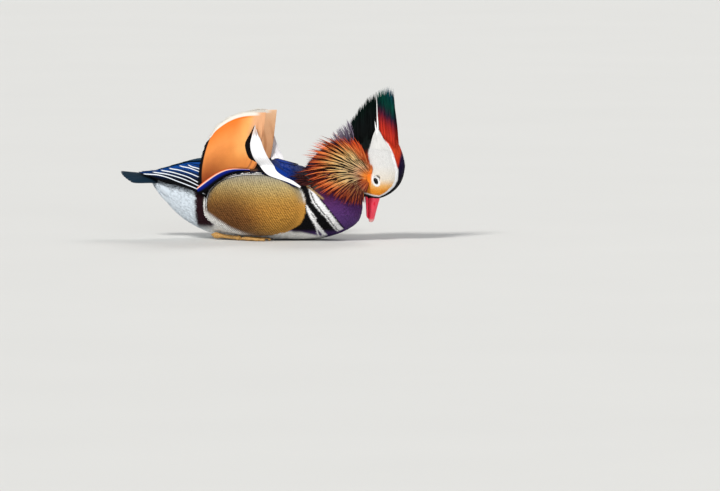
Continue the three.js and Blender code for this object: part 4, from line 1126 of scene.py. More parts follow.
torsoLines = {  # half the width of the body, its top and the height of its widest place, along x
    "half": ([-135, -121, -109, -90, -65, -36, -4, 60, 86, 107, 123, 134, 138.5],
             [0, 17, 25, 35, 42, 47.5, 50.5, 50.5, 48, 42.5, 34, 21, 0]),
    "top": ([-135, -109, -65, -4, 30, 60, 86, 107, 123, 134, 138.5],
            [73, 83, 92, 100, 100, 93, 86, 80, 72, 61, 42]),
    "middle": ([-135, -90, -36, 30, 138.5], [73, 55, 46, 44, 42]),
    "room": 2.5, "power": 2.2, "front": 138.5,
}


def torsoSide(x, z):  # how far out the side of the body stands, with room for its coat
    half, top, middle = (np.interp(x, *torsoLines[key]) for key in ("half", "top", "middle"))
    room, power = torsoLines["room"], torsoLines["power"]
    share = np.clip(np.abs((z - middle) / (top - middle + room)), 0, 1)
    return (half + room) * (1 - share ** power) ** (1 / power)


def ruffOf(word, side):
    look = ruff
    rng = np.random.default_rng(look["seed"] + side)
    heap = Heap()
    shares = ringShares(look)
    knots = np.arange(look["from"] - 20, look["to"] + 20, look["streak"])  # bright and dark plumes by turns, the dark ones partly painted shade
    heights = np.arange(len(knots)) % 2
    knots = knots + rng.normal(0, 0.6, len(knots))
    for k, (plumes, reach, over, width) in enumerate(ruffLayers + cheekLayers):
        onCheek = k >= len(ruffLayers)
        turn = look["from"] + (look["to"] - look["from"]) * (np.arange(plumes) + 0.5) / plumes
        turn = turn + rng.normal(0, 0.6, plumes)
        bump = np.exp(-((turn - look["peak"]) / look["breadth"]) ** 2)
        length = mixed(look["shortest"], look["longest"], bump) * reach
        length = np.maximum(length * (1 + look["vary"] * rng.normal(size=plumes)), look["start"] + 7)
        sway = rng.normal(0, look["sway"], plumes)
        start = look["start"] * (look["cheekStart"] if onCheek else 1) / length
        centreX, centreZ = (look["cheekX"], look["cheekZ"]) if onCheek else (look["x"], look["z"])
        profile = look["cheekOut" if onCheek else "out"]
        wobble = rng.normal(0, look["sway"], plumes)

        def at(part):
            share = mixed(start, 1, part)
            angle = np.radians(turn + np.interp(share * reach, *look["sweep"]) + sway * part)
            x = centreX + np.cos(angle) * length * share
            z = centreZ + np.sin(angle) * length * share
            out = np.interp(length * share, *profile) + over * soft(6, 28, length * share)
            out = np.maximum(out, np.where(x < torsoLines["front"], torsoSide(x, z), 0))
            out = np.maximum(out, sideOf(x, z, side) + (0.16 * over if part > 0 else -1.5))
            return np.stack([x, side * (out + wobble * part ** 2), z], -1)

        controls = np.stack([at(part) for part in (0, 0.25, 0.5, 0.75, 1)], 1)
        along = mixed(start[:, None], 1, shares) * reach
        streak = soft(0.35, 0.65, np.interp(turn, knots, heights) + rng.normal(0, 0.08, plumes))[:, None]
        dense = soft(128, 110, turn)[:, None, None]
        low = soft(198, 222, turn)[:, None, None]
        # painted shade: the dark plumes stand partly for the shade in the gaps between the bright ones
        tint = mixed(ramp(along, ruffTints["dark"]), ramp(along, ruffTints["bright"]), streak[..., None])
        tint = mixed(tint, ramp(along, ruffTints["dense"]), 0.65 * dense)
        tint = mixed(tint, ramp(along, ruffTints["low"]), low * (1 - 0.25 * streak[..., None]))
        tint = tint * (1 + look["shade"] * rng.uniform(-1, 1, (plumes, 1, 1)))
        rim = toward(tint, ruffTints["rim"], 0.45 * np.broadcast_to(streak, along.shape))
        facing = unit(np.array([0.35, side, 0.0]))
        rootX, rootZ = controls[:, 0, 0], controls[:, 0, 2]
        spots = np.clip(np.stack([(rootX - 110) / 60, (rootZ - 45) / 60 + 0.02 * reach], -1), 0.02, 0.98)
        widths = width * rng.uniform(0.75, 1.15, plumes)
        edge, middle = withGloss(rim, 0.05), withGloss(tint, 0.05)
        addPlumes(heap, controls, facing, widths, look, edge, middle, spots, rng)
    heap.piece("ruff" + word.title(), hackleFinish, "ruff_feathers", f"ruff_{word}")


onBothSides(ruffOf)


# the sails, the shoulder bands, the wings and the tail

sail = {"baseFront": (4, 89), "baseRear": (-60.3, 66), "tip": (21, 160), "topRear": (-52, 130.5),
        "baseOut": 37, "rearOut": 49.3, "topOut": 31, "bulge": 4, "thick": 0.9, "lowArch": 10.5,
        "highArch": 13, "frontHollow": 0.5, "rearHollow": 4.2, "frontLean": 0.42, "grid": (120, 100)}
sailPaint = {
    "light": 0.94,
    "rise": [(0, "#e08844"), (0.25, "#f0964c"), (0.55, "#f29850"), (0.85, "#ea7e34"), (1, "#e6762c")],
    "rust": "#7e3418", "front": "#f4b86c", "peach": "#e0a880", "line": "#ec741c", "fringe": "#e4dfd4",
    "black": "#060609", "streak": "#9a5c38",
    "inside": [(0, "#bc845c"), (0.4, "#d8a278"), (0.8, "#e2b086"), (1, "#eabf98")], "fold": "#a5683e",
}


def sailPoint(side, u, v):
    s = sail
    arch = np.maximum(np.sin(math.pi * u), 0)
    wave = np.sin(math.pi * v)
    lowZ = mixed(s["baseFront"][1], s["baseRear"][1], u) + s["lowArch"] * arch ** 0.9 * (1 - 0.25 * u)
    highZ = mixed(s["tip"][1], s["topRear"][1], u) + s["highArch"] * arch * (0.65 + 0.35 * u)
    leaning = v ** mixed(s["frontLean"], 1.0, soft(0, 0.7, u))
    x = mixed(mixed(s["baseFront"][0], s["baseRear"][0], u), mixed(s["tip"][0], s["topRear"][0], u), leaning)
    out = mixed(mixed(s["baseOut"], s["rearOut"], soft(0, 1, u)), s["topOut"], soft(0, 1, v))
    out = out + s["bulge"] * wave * arch
    x = x - mixed(s["frontHollow"], s["rearHollow"], u) * wave
    ripple = 0.3 * np.sin(38 * (u - 0.35 * v ** 1.2)) * wave
    corner = soft(0.84, 1.0, u) * soft(0.84, 1.0, v)
    return np.stack([x + 2.5 * corner, side * (out + ripple), mixed(lowZ, highZ, v) - 2.5 * corner], -1)


def sailTint(u, v, face):
    tint = ramp(v, sailPaint["rise"]) * sailPaint["light"]
    tint = toward(tint, sailPaint["front"], 0.8 * soft(0.5, 0.2, u) * soft(0.1, 0.4, v))
    tint = toward(tint, sailPaint["rust"], soft(0.25, 0.9, u) * soft(0.75, 0.0, v) * 0.95)
    tint = toward(tint, sailPaint["peach"], 0.9 * soft(0.27, 0.15, u) * soft(0.2, 0.5, v))
    streak = soft(0.3, 0.8, np.sin(u * 70 + 2 * np.sin(v * 4))) * soft(0.2, 0.1, u) * soft(0.9, 0.5, v)
    tint = toward(tint, sailPaint["streak"], 0.75 * streak)
    if face < 0:
        tint = ramp(v, sailPaint["inside"])
        folds = soft(0.2, 0.9, np.sin(u * 40 + 3 * np.sin(v * 5))) * soft(0.95, 0.2, v)
        tint = toward(tint, sailPaint["fold"], 0.6 * folds)
    tint = toward(tint, sailPaint["line"], soft(0.9, 0.925, v) * soft(0.15, 0.4, u))
    tint = toward(tint, sailPaint["black"], soft(0.935, 0.95, u) * soft(0.99, 0.95, v))
    return withGloss(toward(tint, sailPaint["fringe"], soft(0.938, 0.95, v) * soft(0.06, 0.2, u)), 0.0)


def sailLie(u, v):
    return np.stack([np.full(len(u), 0.9), 8 * (u - 0.35 * v ** 1.2)], -1)


stripe = {"grid": (16, 60), "thick": 0.7,
          "low": [(-61, 58.5), (-53.5, 60.5), (-45, 66.5), (-37, 73), (-28, 79.3), (-19, 83.6), (-9, 86.6),
                  (2, 87)],
          "high": [(-62.8, 66), (-58.3, 70.4), (-50, 77), (-40, 83.9), (-30, 88.6), (-20, 90.4),
                   (-8, 89.9), (2, 89.4)]}
stripePaint = [(0, "#040406"), (0.3, "#040406"), (0.36, "#050e44"), (0.5, "#061a70"), (0.7, "#082284"),
               (0.76, "#203a94"), (0.81, "#f4cfc0"), (0.88, "#f4be98"), (0.92, "#c8421e"), (1, "#d85a26")]
fringe = {"white": 330, "black": 110, "length": 4.59, "width": 0.85, "rings": 3, "thick": 0.25}


def fringeOf(heap, side, rng):
    whites, blacks = fringe["white"], fringe["black"]
    u = np.concatenate([0.07 + 0.92 * (np.arange(whites) + 0.5) / whites, np.full(blacks, 0.985)])
    v = np.concatenate([rng.uniform(0.955, 0.985, whites), 0.06 + 0.86 * (np.arange(blacks) + 0.5) / blacks])
    white = np.arange(len(u)) < whites
    root = sailPoint(side, u, v)
    aim = sailPoint(side, np.where(white, np.clip(u + 0.025, 0, 1), 1.0), np.where(white, 1.0, v + 0.02))
    run = unit(aim - root)
    fade = np.where(white, 0.35 + 0.65 * soft(0.05, 0.25, u), 0.55)
    length = fringe["length"] * rng.uniform(0.7, 1.35, len(u)) * fade
    turn = rng.normal(0, 0.18, (len(u), 1))
    run = unit(run + np.stack([turn[:, 0], np.zeros(len(u)), -turn[:, 0]], -1))
    controls = np.stack([root + run * length[:, None] * k for k in (0, 0.5, 1)], 1)
    tint = np.where(white[:, None], paint(sailPaint["fringe"]), paint(sailPaint["black"]))
    tint = toward(tint, sailPaint["peach"], soft(0.22, 0.06, u) * white)
    middle = withGloss(np.repeat(tint[:, None], fringe["rings"] + 1, 1), 0.0)
    spots = np.stack([0.02 + 0.86 * u, 0.02 + 0.9 * v], -1)
    addPlumes(heap, controls, [0, side, 0.15], fringe["width"], fringe, 1.0, middle, spots, rng)


def sailOf(word, side):
    heap = Heap()
    rng = np.random.default_rng(51 + side)

    def tintAt(u, v, face):
        return sailTint(u, v, face * side)  # the sheet's own upper face looks to the left

    addSheet(heap, lambda u, v: sailPoint(side, u, v), tintAt, sail["grid"], sail["thick"], (0, 0, 0.9, 1),
             sailLie)

    def stripePoint(u, v):
        spot = mixed(through(stripe["low"], v), through(stripe["high"], v), u[:, None])
        along = (spot[:, 0] - 4) / -66
        out = mixed(39.5, 51.2, soft(0, 1, along)) + 0.8 * np.sin(math.pi * u)
        return np.stack([spot[:, 0], side * out, spot[:, 1]], -1)

    def stripeTint(u, v, face):
        return withGloss(ramp(u, stripePaint), 0.35 * soft(0.3, 0.4, u) * soft(0.8, 0.74, u))

    addSheet(heap, stripePoint, stripeTint, stripe["grid"], stripe["thick"], (0.9, 0, 0.1, 1), lieOver(8))
    fringeOf(heap, side, rng)
    heap.piece("sail" + word.title(), sailFinish, "sail_feathers", f"sail_{word}")


onBothSides(sailOf)

bandLines = {  # from the shoulder up: the rear edge of the black, where it turns white, the front edge
    "rear": [(60, 69), (47, 74.5), (33, 78.5), (20, 83.6), (9, 92), (2.5, 101), (-2.1, 110), (-3.8, 120),
             (0, 130.5), (7.5, 143.5)],
    "middle": [(68, 67.5), (53, 74), (38, 78.6), (26, 83), (16, 91), (9.5, 99.5), (5, 109), (3.1, 118),
               (3.8, 128), (9, 144.5)],
    "fore": [(68.8, 69), (58.5, 75.6), (45.3, 81.3), (35, 88), (29, 97.4), (23.4, 107), (19.1, 116.5),
             (15.9, 126), (12.9, 136), (10.4, 146)],
}
bandSheets = [  # from and to across the band (0 rear, 1 middle, 2 front), how far out, its end, its colour
    (-0.05, 0.75, -1.2, 1.0, "black"), (0.4, 1.12, -0.6, 0.985, "black"), (0.98, 1.5, 0.5, 1.0, "white"),
    (1.3, 1.8, 0.1, 0.97, "white"), (1.62, 2.02, -0.3, 0.93, "white"),
]
bandGrid, bandThick = (8, 60), 0.6
# grey is painted shade on the white sheets
bandPaint = {"white": "#f1f1f3", "grey": "#dcdce2", "black": "#060608", "blue": "#0c2468"}


def bandPoint(side, u, v, look):
    low, high, lift, end, kind = look
    along = v * end
    taper = 1 - soft(0.8, 1.0, v) * 0.9
    share = mixed(low, high, 0.5 + (u - 0.5) * taper)[:, None]
    rear, middle, fore = (through(bandLines[key], along) for key in ("rear", "middle", "fore"))
    spot = np.where(share < 1, mixed(rear, middle, share), mixed(middle, fore, share - 1))
    out = np.maximum(torsoSide(spot[:, 0], spot[:, 1]) + 1.2, mixed(30, 40, soft(86, 106, spot[:, 1])))
    cup = 0.7 * (1 - (2 * u - 1) ** 2)
    return np.stack([spot[:, 0], side * (out + lift + cup), spot[:, 1]], -1)


darkPlumes = {"count": 10, "width": 10, "hind": (67, 37, 72), "mid": (42, 32.5, 85.5), "tip": (19, 26, 99),
              "hindStep": (-1.5, -3.3, 2.4), "midStep": (-1, -3, 1.5), "tipStep": (1, -2.6, 0.2),
              "root": 0.7, "point": 3.5, "camber": 0.15, "grid": (8, 20), "thick": 0.5, "streak": "#040509",
              "tints": [(0, "#1c1a1e"), (0.3, "#083088"), (0.7, "#083490"), (1, "#050f38")]}


def featherSheet(heap, controls, width, facing, tintAt, look, cell):
    controls = np.asarray(controls, float)[None]

    def place(u, v):
        spot = bend(controls, v)[0]
        ahead, behind = (bend(controls, np.clip(v + step, 0, 1))[0] for step in (0.01, -0.01))
        run = unit(ahead - behind)
        side = unit(np.cross(run, np.asarray(facing, float)))
        over = np.cross(side, run)
        tip = np.maximum(0.05, (1 - v ** look["point"]) ** 0.62)
        half = width / 2 * mixed(look["root"], 1, soft(0, 0.35, v)) * tip
        share = (2 * u - 1)[:, None]
        return spot + side * share * half[:, None] - over * look["camber"] * half[:, None] * share ** 2

    size = np.linalg.norm(np.diff(controls[0], axis=0), axis=1).sum() / 10
    addSheet(heap, place, tintAt, look["grid"], look["thick"], cell, lieOver(size))


def shoulderOf(word, side):
    heap = Heap()
    for k, look in enumerate(bandSheets):
        def tintAt(u, v, face):
            if look[4] == "black":
                tint = flatTint(bandPaint["black"], u)
                return withGloss(toward(tint, bandPaint["blue"], 0.4 * soft(0.4, 0.1, v)), 0.2)
            # painted shade: each white sheet greys toward its rear edge
            tint = flatTint(bandPaint["white"], u)
            return withGloss(toward(tint, bandPaint["grey"], 0.5 * soft(0.2, 0.0, u)), 0.0)

        addSheet(heap, lambda u, v: bandPoint(side, u, v, look), tintAt, bandGrid, bandThick,
                 (k * 0.1, 0, 0.1, 1), lieOver(10))
    look = darkPlumes
    for k in range(look["count"]):
        rows = [np.array(look[key]) + k * np.array(look[key + "Step"]) for key in ("hind", "mid", "tip")]
        rows = [row * [1, side, 1] for row in rows]

        def darkTint(u, v, face):
            tint = ramp(v, look["tints"])
            streaks = 0.5 * soft(0.2, 0.9, np.sin(u * 26 + k)) + soft(0.6, 0.95, np.abs(2 * u - 1))
            return withGloss(toward(tint, look["streak"], streaks), 0.3)

        facing = unit(np.array([0.3, side * (0.8 - 0.07 * k), 0.8]))
        featherSheet(heap, rows, look["width"], facing, darkTint, look, (0.5 + 0.045 * k, 0, 0.045, 1))
    heap.piece("shoulder" + word.title(), vaneFinish, "shoulder_feathers", f"shoulder_{word}")


onBothSides(shoulderOf)

# edges of the folded wing: x, how far out, how high
wingLow = ([-147, -140, -130, -119, -104.6, -90.5, -75.7, -63.2, -57, -50],
           [10, 14, 19.5, 25.5, 33, 39.5, 45, 48, 47.5, 43],
           [81.6, 79.4, 79.2, 79, 76.5, 72.4, 68, 63.5, 59, 55])
wingTop = ([-149, -130, -107.4, -93.7, -79.1, -64.3, -50],
           [6, 11, 17.5, 22, 26, 29.5, 31], [81.9, 83.4, 88.7, 92.6, 96.1, 97.1, 97.3])
wingLines = [  # the lower edge of each long feather from the shoulder to its tip, and where its white starts
    ([(-50, 51), (-60, 58), (-70, 62.5), (-81, 66), (-92, 68.5), (-104, 69.5), (-117, 73), (-130, 77.5),
      (-138, 81.9)], 2.0),
    ([(-50, 55), (-57.7, 59.4), (-63.2, 63.5), (-75.7, 68), (-90.5, 72.4), (-104.6, 76.5), (-118.9, 79),
      (-130, 79.2), (-140, 79.5), (-148, 82.2)], 0.1),
    ([(-52, 62), (-60, 66.5), (-67.2, 69.8), (-75.8, 73.2), (-85, 76), (-93.4, 78), (-102.9, 79.8),
      (-112.5, 81), (-127.6, 81.9), (-137, 83.6)], 0.1),
    ([(-52, 66), (-60, 70.5), (-68.2, 74.3), (-76.2, 77.7), (-84.4, 79.9), (-93.8, 81.9), (-103.3, 83.4),
      (-115.2, 84.4), (-124, 86.2)], 0.1),
    ([(-50, 72), (-58, 76.3), (-65.7, 79.4), (-74.4, 82.3), (-82.6, 84.3), (-92, 86.1), (-102.7, 87),
      (-112, 88.9)], 0.1),
    ([(-48, 78.5), (-56, 82), (-63.5, 85), (-71.6, 87.5), (-77.6, 89.1), (-86.9, 90.3), (-97, 92.5)], 0.1),
    ([(-48, 83), (-56, 86), (-63.4, 88.3), (-67.6, 89.4), (-73.4, 90.6), (-85, 95)], 0.1),
    ([(-44, 88), (-52, 91), (-60, 92.6), (-68, 93.4), (-80, 96)], 2.0),
]
wingShape = {"grid": (24, 60), "thick": 0.5, "step": 0.55, "whiteWidth": 1.35, "lean": 3, "room": 11}
overWing = {"ends": (-141, -124, -106, -90), "start": -46, "inner": 3, "step": 0.6, "grid": (12, 40),
            "ridge": ([-135, -109, -65, -4], [76.5, 86, 95, 103])}
flightPaint = {"black": "#030406", "gloss": "#064490", "teal": "#064868", "edge": "#e8eef6"}


def wingSide(x, z):  # how far out the folded wing stands
    low, top = (np.interp(x, line[0], line[2]) for line in (wingLow, wingTop))
    share = np.clip((z - low) / np.maximum(top - low, 0.5), 0, 1) ** 1.25
    return mixed(np.interp(x, *wingLow[:2]), np.interp(x, *wingTop[:2]), share)


def wingOf(word, side):
    heap = Heap()
    look = wingShape
    total = len(wingLines) + len(overWing["ends"])
    for i, (line, whiteFrom) in enumerate(wingLines):
        def lower(v):  # the lower edge of the feather and how wide it is there
            x, z = through(line, v).T
            return x, z, np.clip(np.interp(x, wingTop[0], wingTop[2]) - z, 0.2, look["room"])

        def place(u, v):
            x, z, room = lower(v)
            x, z = x + look["lean"] * u * (1 - v), z + room * u
            return np.stack([x, side * (wingSide(x, z) + look["step"] * i), z], -1)

        def tintAt(u, v, face):
            x, z, room = lower(v)
            height = np.clip((z + room * u - 62) / 32, 0, 1)
            tint = flatTint(flightPaint["black"], u)
            tint = toward(tint, flightPaint["gloss"], 0.85 * soft(0.35, 0.9, height) * soft(0.0, 0.5, u))
            white = soft(look["whiteWidth"], look["whiteWidth"] - 0.35, room * u) * soft(0.1, 0.25, room * u)
            white = white * soft(whiteFrom - 0.05, whiteFrom, v) * soft(0.9, 0.86, v)
            return withGloss(toward(tint, flightPaint["edge"], white), 0.3 * (1 - white))

        addSheet(heap, place, tintAt, look["grid"], look["thick"], (i / total, 0, 1 / total, 1), lieOver(10))
    for k, end in enumerate(overWing["ends"]):
        def placeOver(u, v):
            narrow = np.maximum(1 - v ** 6, 0) ** 0.5
            share = 0.5 + (u - 0.5) * narrow
            x = mixed(overWing["start"], end, v)
            outerY, outerZ = (np.interp(x, wingTop[0], wingTop[axis]) for axis in (1, 2))
            y = mixed(outerY + 1.5, overWing["inner"], share)
            z = mixed(outerZ - 0.5, np.interp(x, *overWing["ridge"]), share)
            raised = 1.4 * np.sin(math.pi * share) + overWing["step"] * k + 0.6
            return np.stack([x, side * y, z + raised], -1)

        def tintOver(u, v, face):
            tint = flatTint(flightPaint["black"], u)
            tint = toward(tint, flightPaint["teal"], 0.6 * soft(0.9, 0.3, u) * soft(0.0, 0.5, v))
            rim = soft(0.86, 0.98, np.abs(2 * u - 1))
            return withGloss(toward(tint, flightPaint["black"], 0.6 * rim), 0.3)

        addSheet(heap, placeOver, tintOver, overWing["grid"], look["thick"],
                 ((len(wingLines) + k) / total, 0, 1 / total, 1), lieOver(10))
    heap.piece("wing" + word.title(), vaneFinish, "wing_feathers", f"wing_{word}")


onBothSides(wingOf)

tail = {"feathers": 16, "rootSpread": 8, "sweep": 17,
        "rootX": -112, "tipX": -172, "z": 80, "tipZ": 82.5, "spread": 22, "droop": 11,
        "width": 13.5, "coverts": 11, "covertRoot": -98, "covertMiddle": -120, "covertTip": -140,
        "covertZ": 80.8, "covertSpread": 18, "covertWidth": 11,
        "root": 0.7, "point": 4, "camber": 0.12, "grid": (12, 30), "thick": 0.5}
tailPaint = {"dark": "#12181d", "gloss": "#143044", "edge": "#39434a",
             "covert": [(0, "#1e2422"), (1, "#16303a")]}


def tailOfBird():
    heap = Heap()
    for i in range(tail["feathers"]):
        share = 2 * i / (tail["feathers"] - 1) - 1
        away = abs(share)
        fall = tail["droop"] * away ** 1.4
        endX = tail["tipX"] + tail["sweep"] * away ** 2
        rows = [(tail["rootX"], share * tail["rootSpread"], tail["z"] - 4 - 0.25 * fall),
                (mixed(tail["rootX"], endX, 0.5), share * tail["spread"] * 0.62, tail["z"] - 0.6 * fall),
                (endX, share * tail["spread"], tail["tipZ"] - fall)]

        def tintAt(u, v, face):
            tint = flatTint(tailPaint["dark"], u)
            tint = toward(tint, tailPaint["gloss"], 0.6 * soft(0.1, 0.6, v) * (face > 0))
            rim = soft(0.9, 0.99, np.abs(2 * u - 1)) + soft(0.96, 1.0, v)
            return withGloss(toward(tint, tailPaint["edge"], 0.6 * rim), 0.25)

        cell = (i / 25, 0, 0.04, 1)
        featherSheet(heap, rows, tail["width"], (0.15, share * 0.7, 1), tintAt, tail, cell)
    for i in range(tail["coverts"]):
        share = 2 * i / (tail["coverts"] - 1) - 1
        away = abs(share)
        z = tail["covertZ"] - 4 * away
        rows = [(tail["covertRoot"], share * 9, z), (tail["covertMiddle"], share * 15, z + 0.4),
                (tail["covertTip"] + 14 * away, share * tail["covertSpread"], z + 0.9)]

        def covertTint(u, v, face):
            return withGloss(ramp(v, tailPaint["covert"]), 0.25)

        cell = (0.56 + i / 25, 0, 0.04, 1)
        featherSheet(heap, rows, tail["covertWidth"], (0, share * 0.6, 1), covertTint, tail, cell)
    heap.piece("tailFeathers", vaneFinish, "tail_feathers", "tail")


tailOfBird()


# eyes, lids, bill and feet

eyeLook = Finish("eyeDark", {"Roughness": 0.04, "IOR": 1.34, "Specular IOR Level": 0.45})
eyePlace = eyeLook.node("TexCoord", output=3)
eyeUp = eyeLook.node("SeparateXYZ", (), {0: eyePlace}, 2) - eye["z"] * mm
eyeAcross = eyeLook.node("SeparateXYZ", (), {0: eyePlace}, 0) - eye["x"] * mm
pupilEdge = [(size * mm) ** 2 for size in eye["pupil"]]
irisShare = eyeLook.fade(eyeUp * eyeUp + eyeAcross * eyeAcross, *pupilEdge)
irisTone = eyeLook.mix(eyeLook.noise(2500.0), (0.005, 0.003, 0.002, 1), (0.014, 0.006, 0.004, 1))
eyeLook.feed(Base_Color=eyeLook.mix(irisShare, (0.001, 0.001, 0.002, 1), irisTone))


def leaning(wide, long):  # x and z of places given by the tilted eye's own width and length
    x = eye["x"] + wide * math.cos(eye["lean"]) - long * math.sin(eye["lean"])
    return x, eye["z"] + long * math.cos(eye["lean"]) + wide * math.sin(eye["lean"])


def eyeOf(word, side):
    ball = roundBall(48, 32)
    ball.name = "eye" + word.title()
    points = np.array([v.co[:] for v in ball.data.vertices])
    points = points * (1 + eye["cornea"] * soft(0.8, 1.0, points[:, 2]))[:, None]
    wide, long, deep = (points * [eye["wide"], eye["long"], eye["deep"]]).T
    behindLids = np.sqrt((wide / eye["halfWidth"]) ** 2 + (long / eye["halfLength"]) ** 2)
    deep = deep - eye["sunk"] * soft(1.08, 1.4, behindLids) * (deep > 0)
    ball.data.vertices.foreach_set("co", (onEye(*leaning(wide, long), deep, side) * mm).ravel())
    ball.data.update()
    editing(ball, bpy.ops.mesh.normals_make_consistent, inside=False)
    bpy.ops.object.shade_smooth()
    placed(ball, eyeLook.material, "eye", f"eye_{word}")


lidLook = Finish("lidSkin", {"Roughness": 0.5})
lidNoise = lidLook.noise(900.0)
lidLook.feed(Base_Color=lidLook.mix(lidNoise, (0.004, 0.004, 0.005, 1), (0.02, 0.017, 0.016, 1)))
lidLook.bump(lidNoise, 0.4, 0.0003)


lids = {"around": 56, "sides": 12, "out": 0.1, "half": 0.45, "lift": 0.15, "high": 0.4}


def lidOf(word, side):
    turn = np.linspace(0, 2 * math.pi, lids["around"], endpoint=False)[:, None]
    section = np.linspace(0, 2 * math.pi, lids["sides"], endpoint=False)[None]
    out = lids["out"] + lids["half"] * np.cos(section)
    long = (eye["halfLength"] + out) * np.cos(turn)
    wide = (eye["halfWidth"] + out) * np.sin(turn)
    bulge = np.sqrt(1 - (long / eye["long"]) ** 2 - (wide / eye["wide"]) ** 2)
    lift = eye["deep"] * bulge + lids["lift"] + lids["high"] * np.sin(section)
    points = onEye(*leaning(wide, long), lift, side).reshape(-1, 3)
    index = np.arange(len(points)).reshape(bulge.shape)
    right, up = np.roll(index, -1, 1), np.roll(index, -1, 0)
    both = np.roll(up, -1, 1)
    halves = ((index, right, both), (index, both, up))
    faces = np.concatenate([np.stack(corners, -1).reshape(-1, 3) for corners in halves])
    made = plain("lids" + word.title(), points, outward(points, faces))
    made.data.shade_smooth()
    placed(made, lidLook.material, "face_feathers")


for word, side in bothSides:
    eyeOf(word, side)
    lidOf(word, side)

billLook = Finish("billHorn", {"Coat Weight": 0.3, "Coat Roughness": 0.2, "Subsurface Weight": 0.05})
billPlace = billLook.node("TexCoord", output=3)
billHeight = billLook.node("SeparateXYZ", (), {0: billPlace}, 2)
billGrain = billLook.noise(420.0, 4.0)
billRed = billLook.mix(billGrain, (1.0, 0.012, 0.055, 1), (1.0, 0.06, 0.12, 1))
nailShare = 1.0 - billLook.fade(billHeight, 24.5 * mm, 28.5 * mm)
billLook.feed(Base_Color=billLook.mix(nailShare * 0.75, billRed, (0.85, 0.5, 0.46, 1)))
billLook.feed(Roughness=0.3 + billGrain * 0.2)
billLook.bump(billGrain, 0.25, 0.0004)

upperBill = [(62, 150, 150, 0), (60, 159.4, 145.6, 6.6), (52, 158.9, 145.6, 7.4), (44, 156.6, 145.9, 7.2),
             (36, 154.4, 146.1, 7.1), (30, 152.9, 145.9, 6.9), (26, 151.9, 145.4, 6.3),
             (23.6, 150.6, 145.8, 4.6), (22.6, 148.2, 148.2, 0)]
lowerBill = [(62, 145, 145, 0), (60, 145.2, 141.6, 5.6), (52, 145.2, 141.4, 6.3), (44, 145.5, 141.9, 6.3),
             (36, 145.7, 142.3, 6.1), (30, 145.6, 142.8, 5.4), (26.5, 145.3, 144.6, 0)]


nostril = {"place": (153.4, 6.4, 46), "size": (0.9, 2.2, 2.3)}
billCorner = 2.4  # 2 is an ellipse, more is squarer


def mandible(name, stations, keel, replaced):
    shares = np.linspace(0, 1, 56)
    z, front, back, half = through(stations, shares).T[:, :, None]
    turn = np.linspace(0, 2 * math.pi, 48, endpoint=False)[None]
    ends = np.where((shares > 0) & (shares < 1), 1, 0)[:, None]
    cosine, sine = (np.sign(wave) * np.abs(wave) ** (2 / billCorner)
                    for wave in (np.cos(turn), np.sin(turn)))
    x = (front + back) / 2 + (front - back) / 2 * ends * cosine
    y = half * ends * sine * (1 - keel * np.maximum(np.cos(turn), 0))
    made = plain(name, *capped(np.stack(np.broadcast_arrays(x, y, z), -1)))
    if name == "billUpper":
        for word, side in bothSides:
            hole = ballAt(np.multiply(nostril["place"], [1, side, 1]), nostril["size"], 24, 14)
            finishWith(made, "BOOLEAN", operation="DIFFERENCE", solver="EXACT", object=hole)
            bpy.data.objects.remove(hole)
    only(made)
    bpy.ops.object.shade_smooth_by_angle(angle=math.radians(50))
    placed(made, billLook.material, "bill", replaced)


mandible("billUpper", upperBill, 0.42, "bill_upper")
mandible("billLower", lowerBill, -0.2, "bill_lower")

legLook = Finish("legSkin", {"Specular IOR Level": 0.4})
legPlace = legLook.node("TexCoord", output=3)
legCells = legLook.node("TexVoronoi", {"feature": "DISTANCE_TO_EDGE"}, {"Vector": legPlace, "Scale": 700.0})
legScale = legLook.fade(legCells, 0.02, 0.12)
legTone = legLook.noise(200.0)
legColour = legLook.mix(legTone, (0.5, 0.25, 0.05, 1), (0.72, 0.42, 0.12, 1))
legLook.feed(Base_Color=legLook.mix(legScale, (0.2, 0.1, 0.04, 1), legColour))
legLook.feed(Roughness=0.6 - legScale * 0.15)
legLook.bump(legScale, 0.5, 0.0003)
clawLook = Finish("clawHorn", {"Specular IOR Level": 0.5})
clawTone = clawLook.noise(500.0)
clawLook.feed(Base_Color=clawLook.mix(clawTone, (0.01, 0.008, 0.007, 1), (0.05, 0.035, 0.025, 1)))
clawLook.feed(Roughness=0.3 + clawTone * 0.2)

leg = {"hock": (-45, 25.5, 5.4), "ankle": (-12, 37, 3.2), "toeX": 27, "y": 37.5, "spread": 11, "web": 0.55,
       "floor": 0.15, "toeZ": 1.9, "shin": [0, 3.9, 2.7, 2.4, 2.5, 3.1, 0],
       "toe": [0, 1.9, 2.2, 1.5, 1.9, 1.35, 1.6, 0], "claw": [0, 1.0, 0.6, 0],
       "toes": ((-1, 0.82), (0, 1.0), (1, 0.88))}


def tube(path, radii, around=14):
    shares = np.linspace(0, 1, 7 * len(path))
    spots = through(path, shares)
    reach = through(np.stack([radii, radii], -1), shares)[:, 0]
    reach[[0, -1]] = 0
    runs = unit(np.gradient(spots, axis=0))
    sides = unit(np.cross(runs, [0.0, 0.0, 1.0]))
    over = np.cross(sides, runs)
    turn = np.linspace(0, 2 * math.pi, around, endpoint=False)[None, :, None]
    ring = np.cos(turn) * sides[:, None] + np.sin(turn) * over[:, None]
    return capped(spots[:, None] + reach[:, None, None] * ring)


def gathered(name, parts, look, slot, *replaced):
    starts = np.cumsum([0] + [len(part[0]) for part in parts[:-1]])
    points = np.concatenate([part[0] for part in parts])
    points[:, 2] = np.maximum(points[:, 2], leg["floor"])
    made = plain(name, points, np.concatenate([part[1] + start for start, part in zip(starts, parts)]))
    made.data.shade_smooth()
    placed(made, look.material, slot, *replaced)


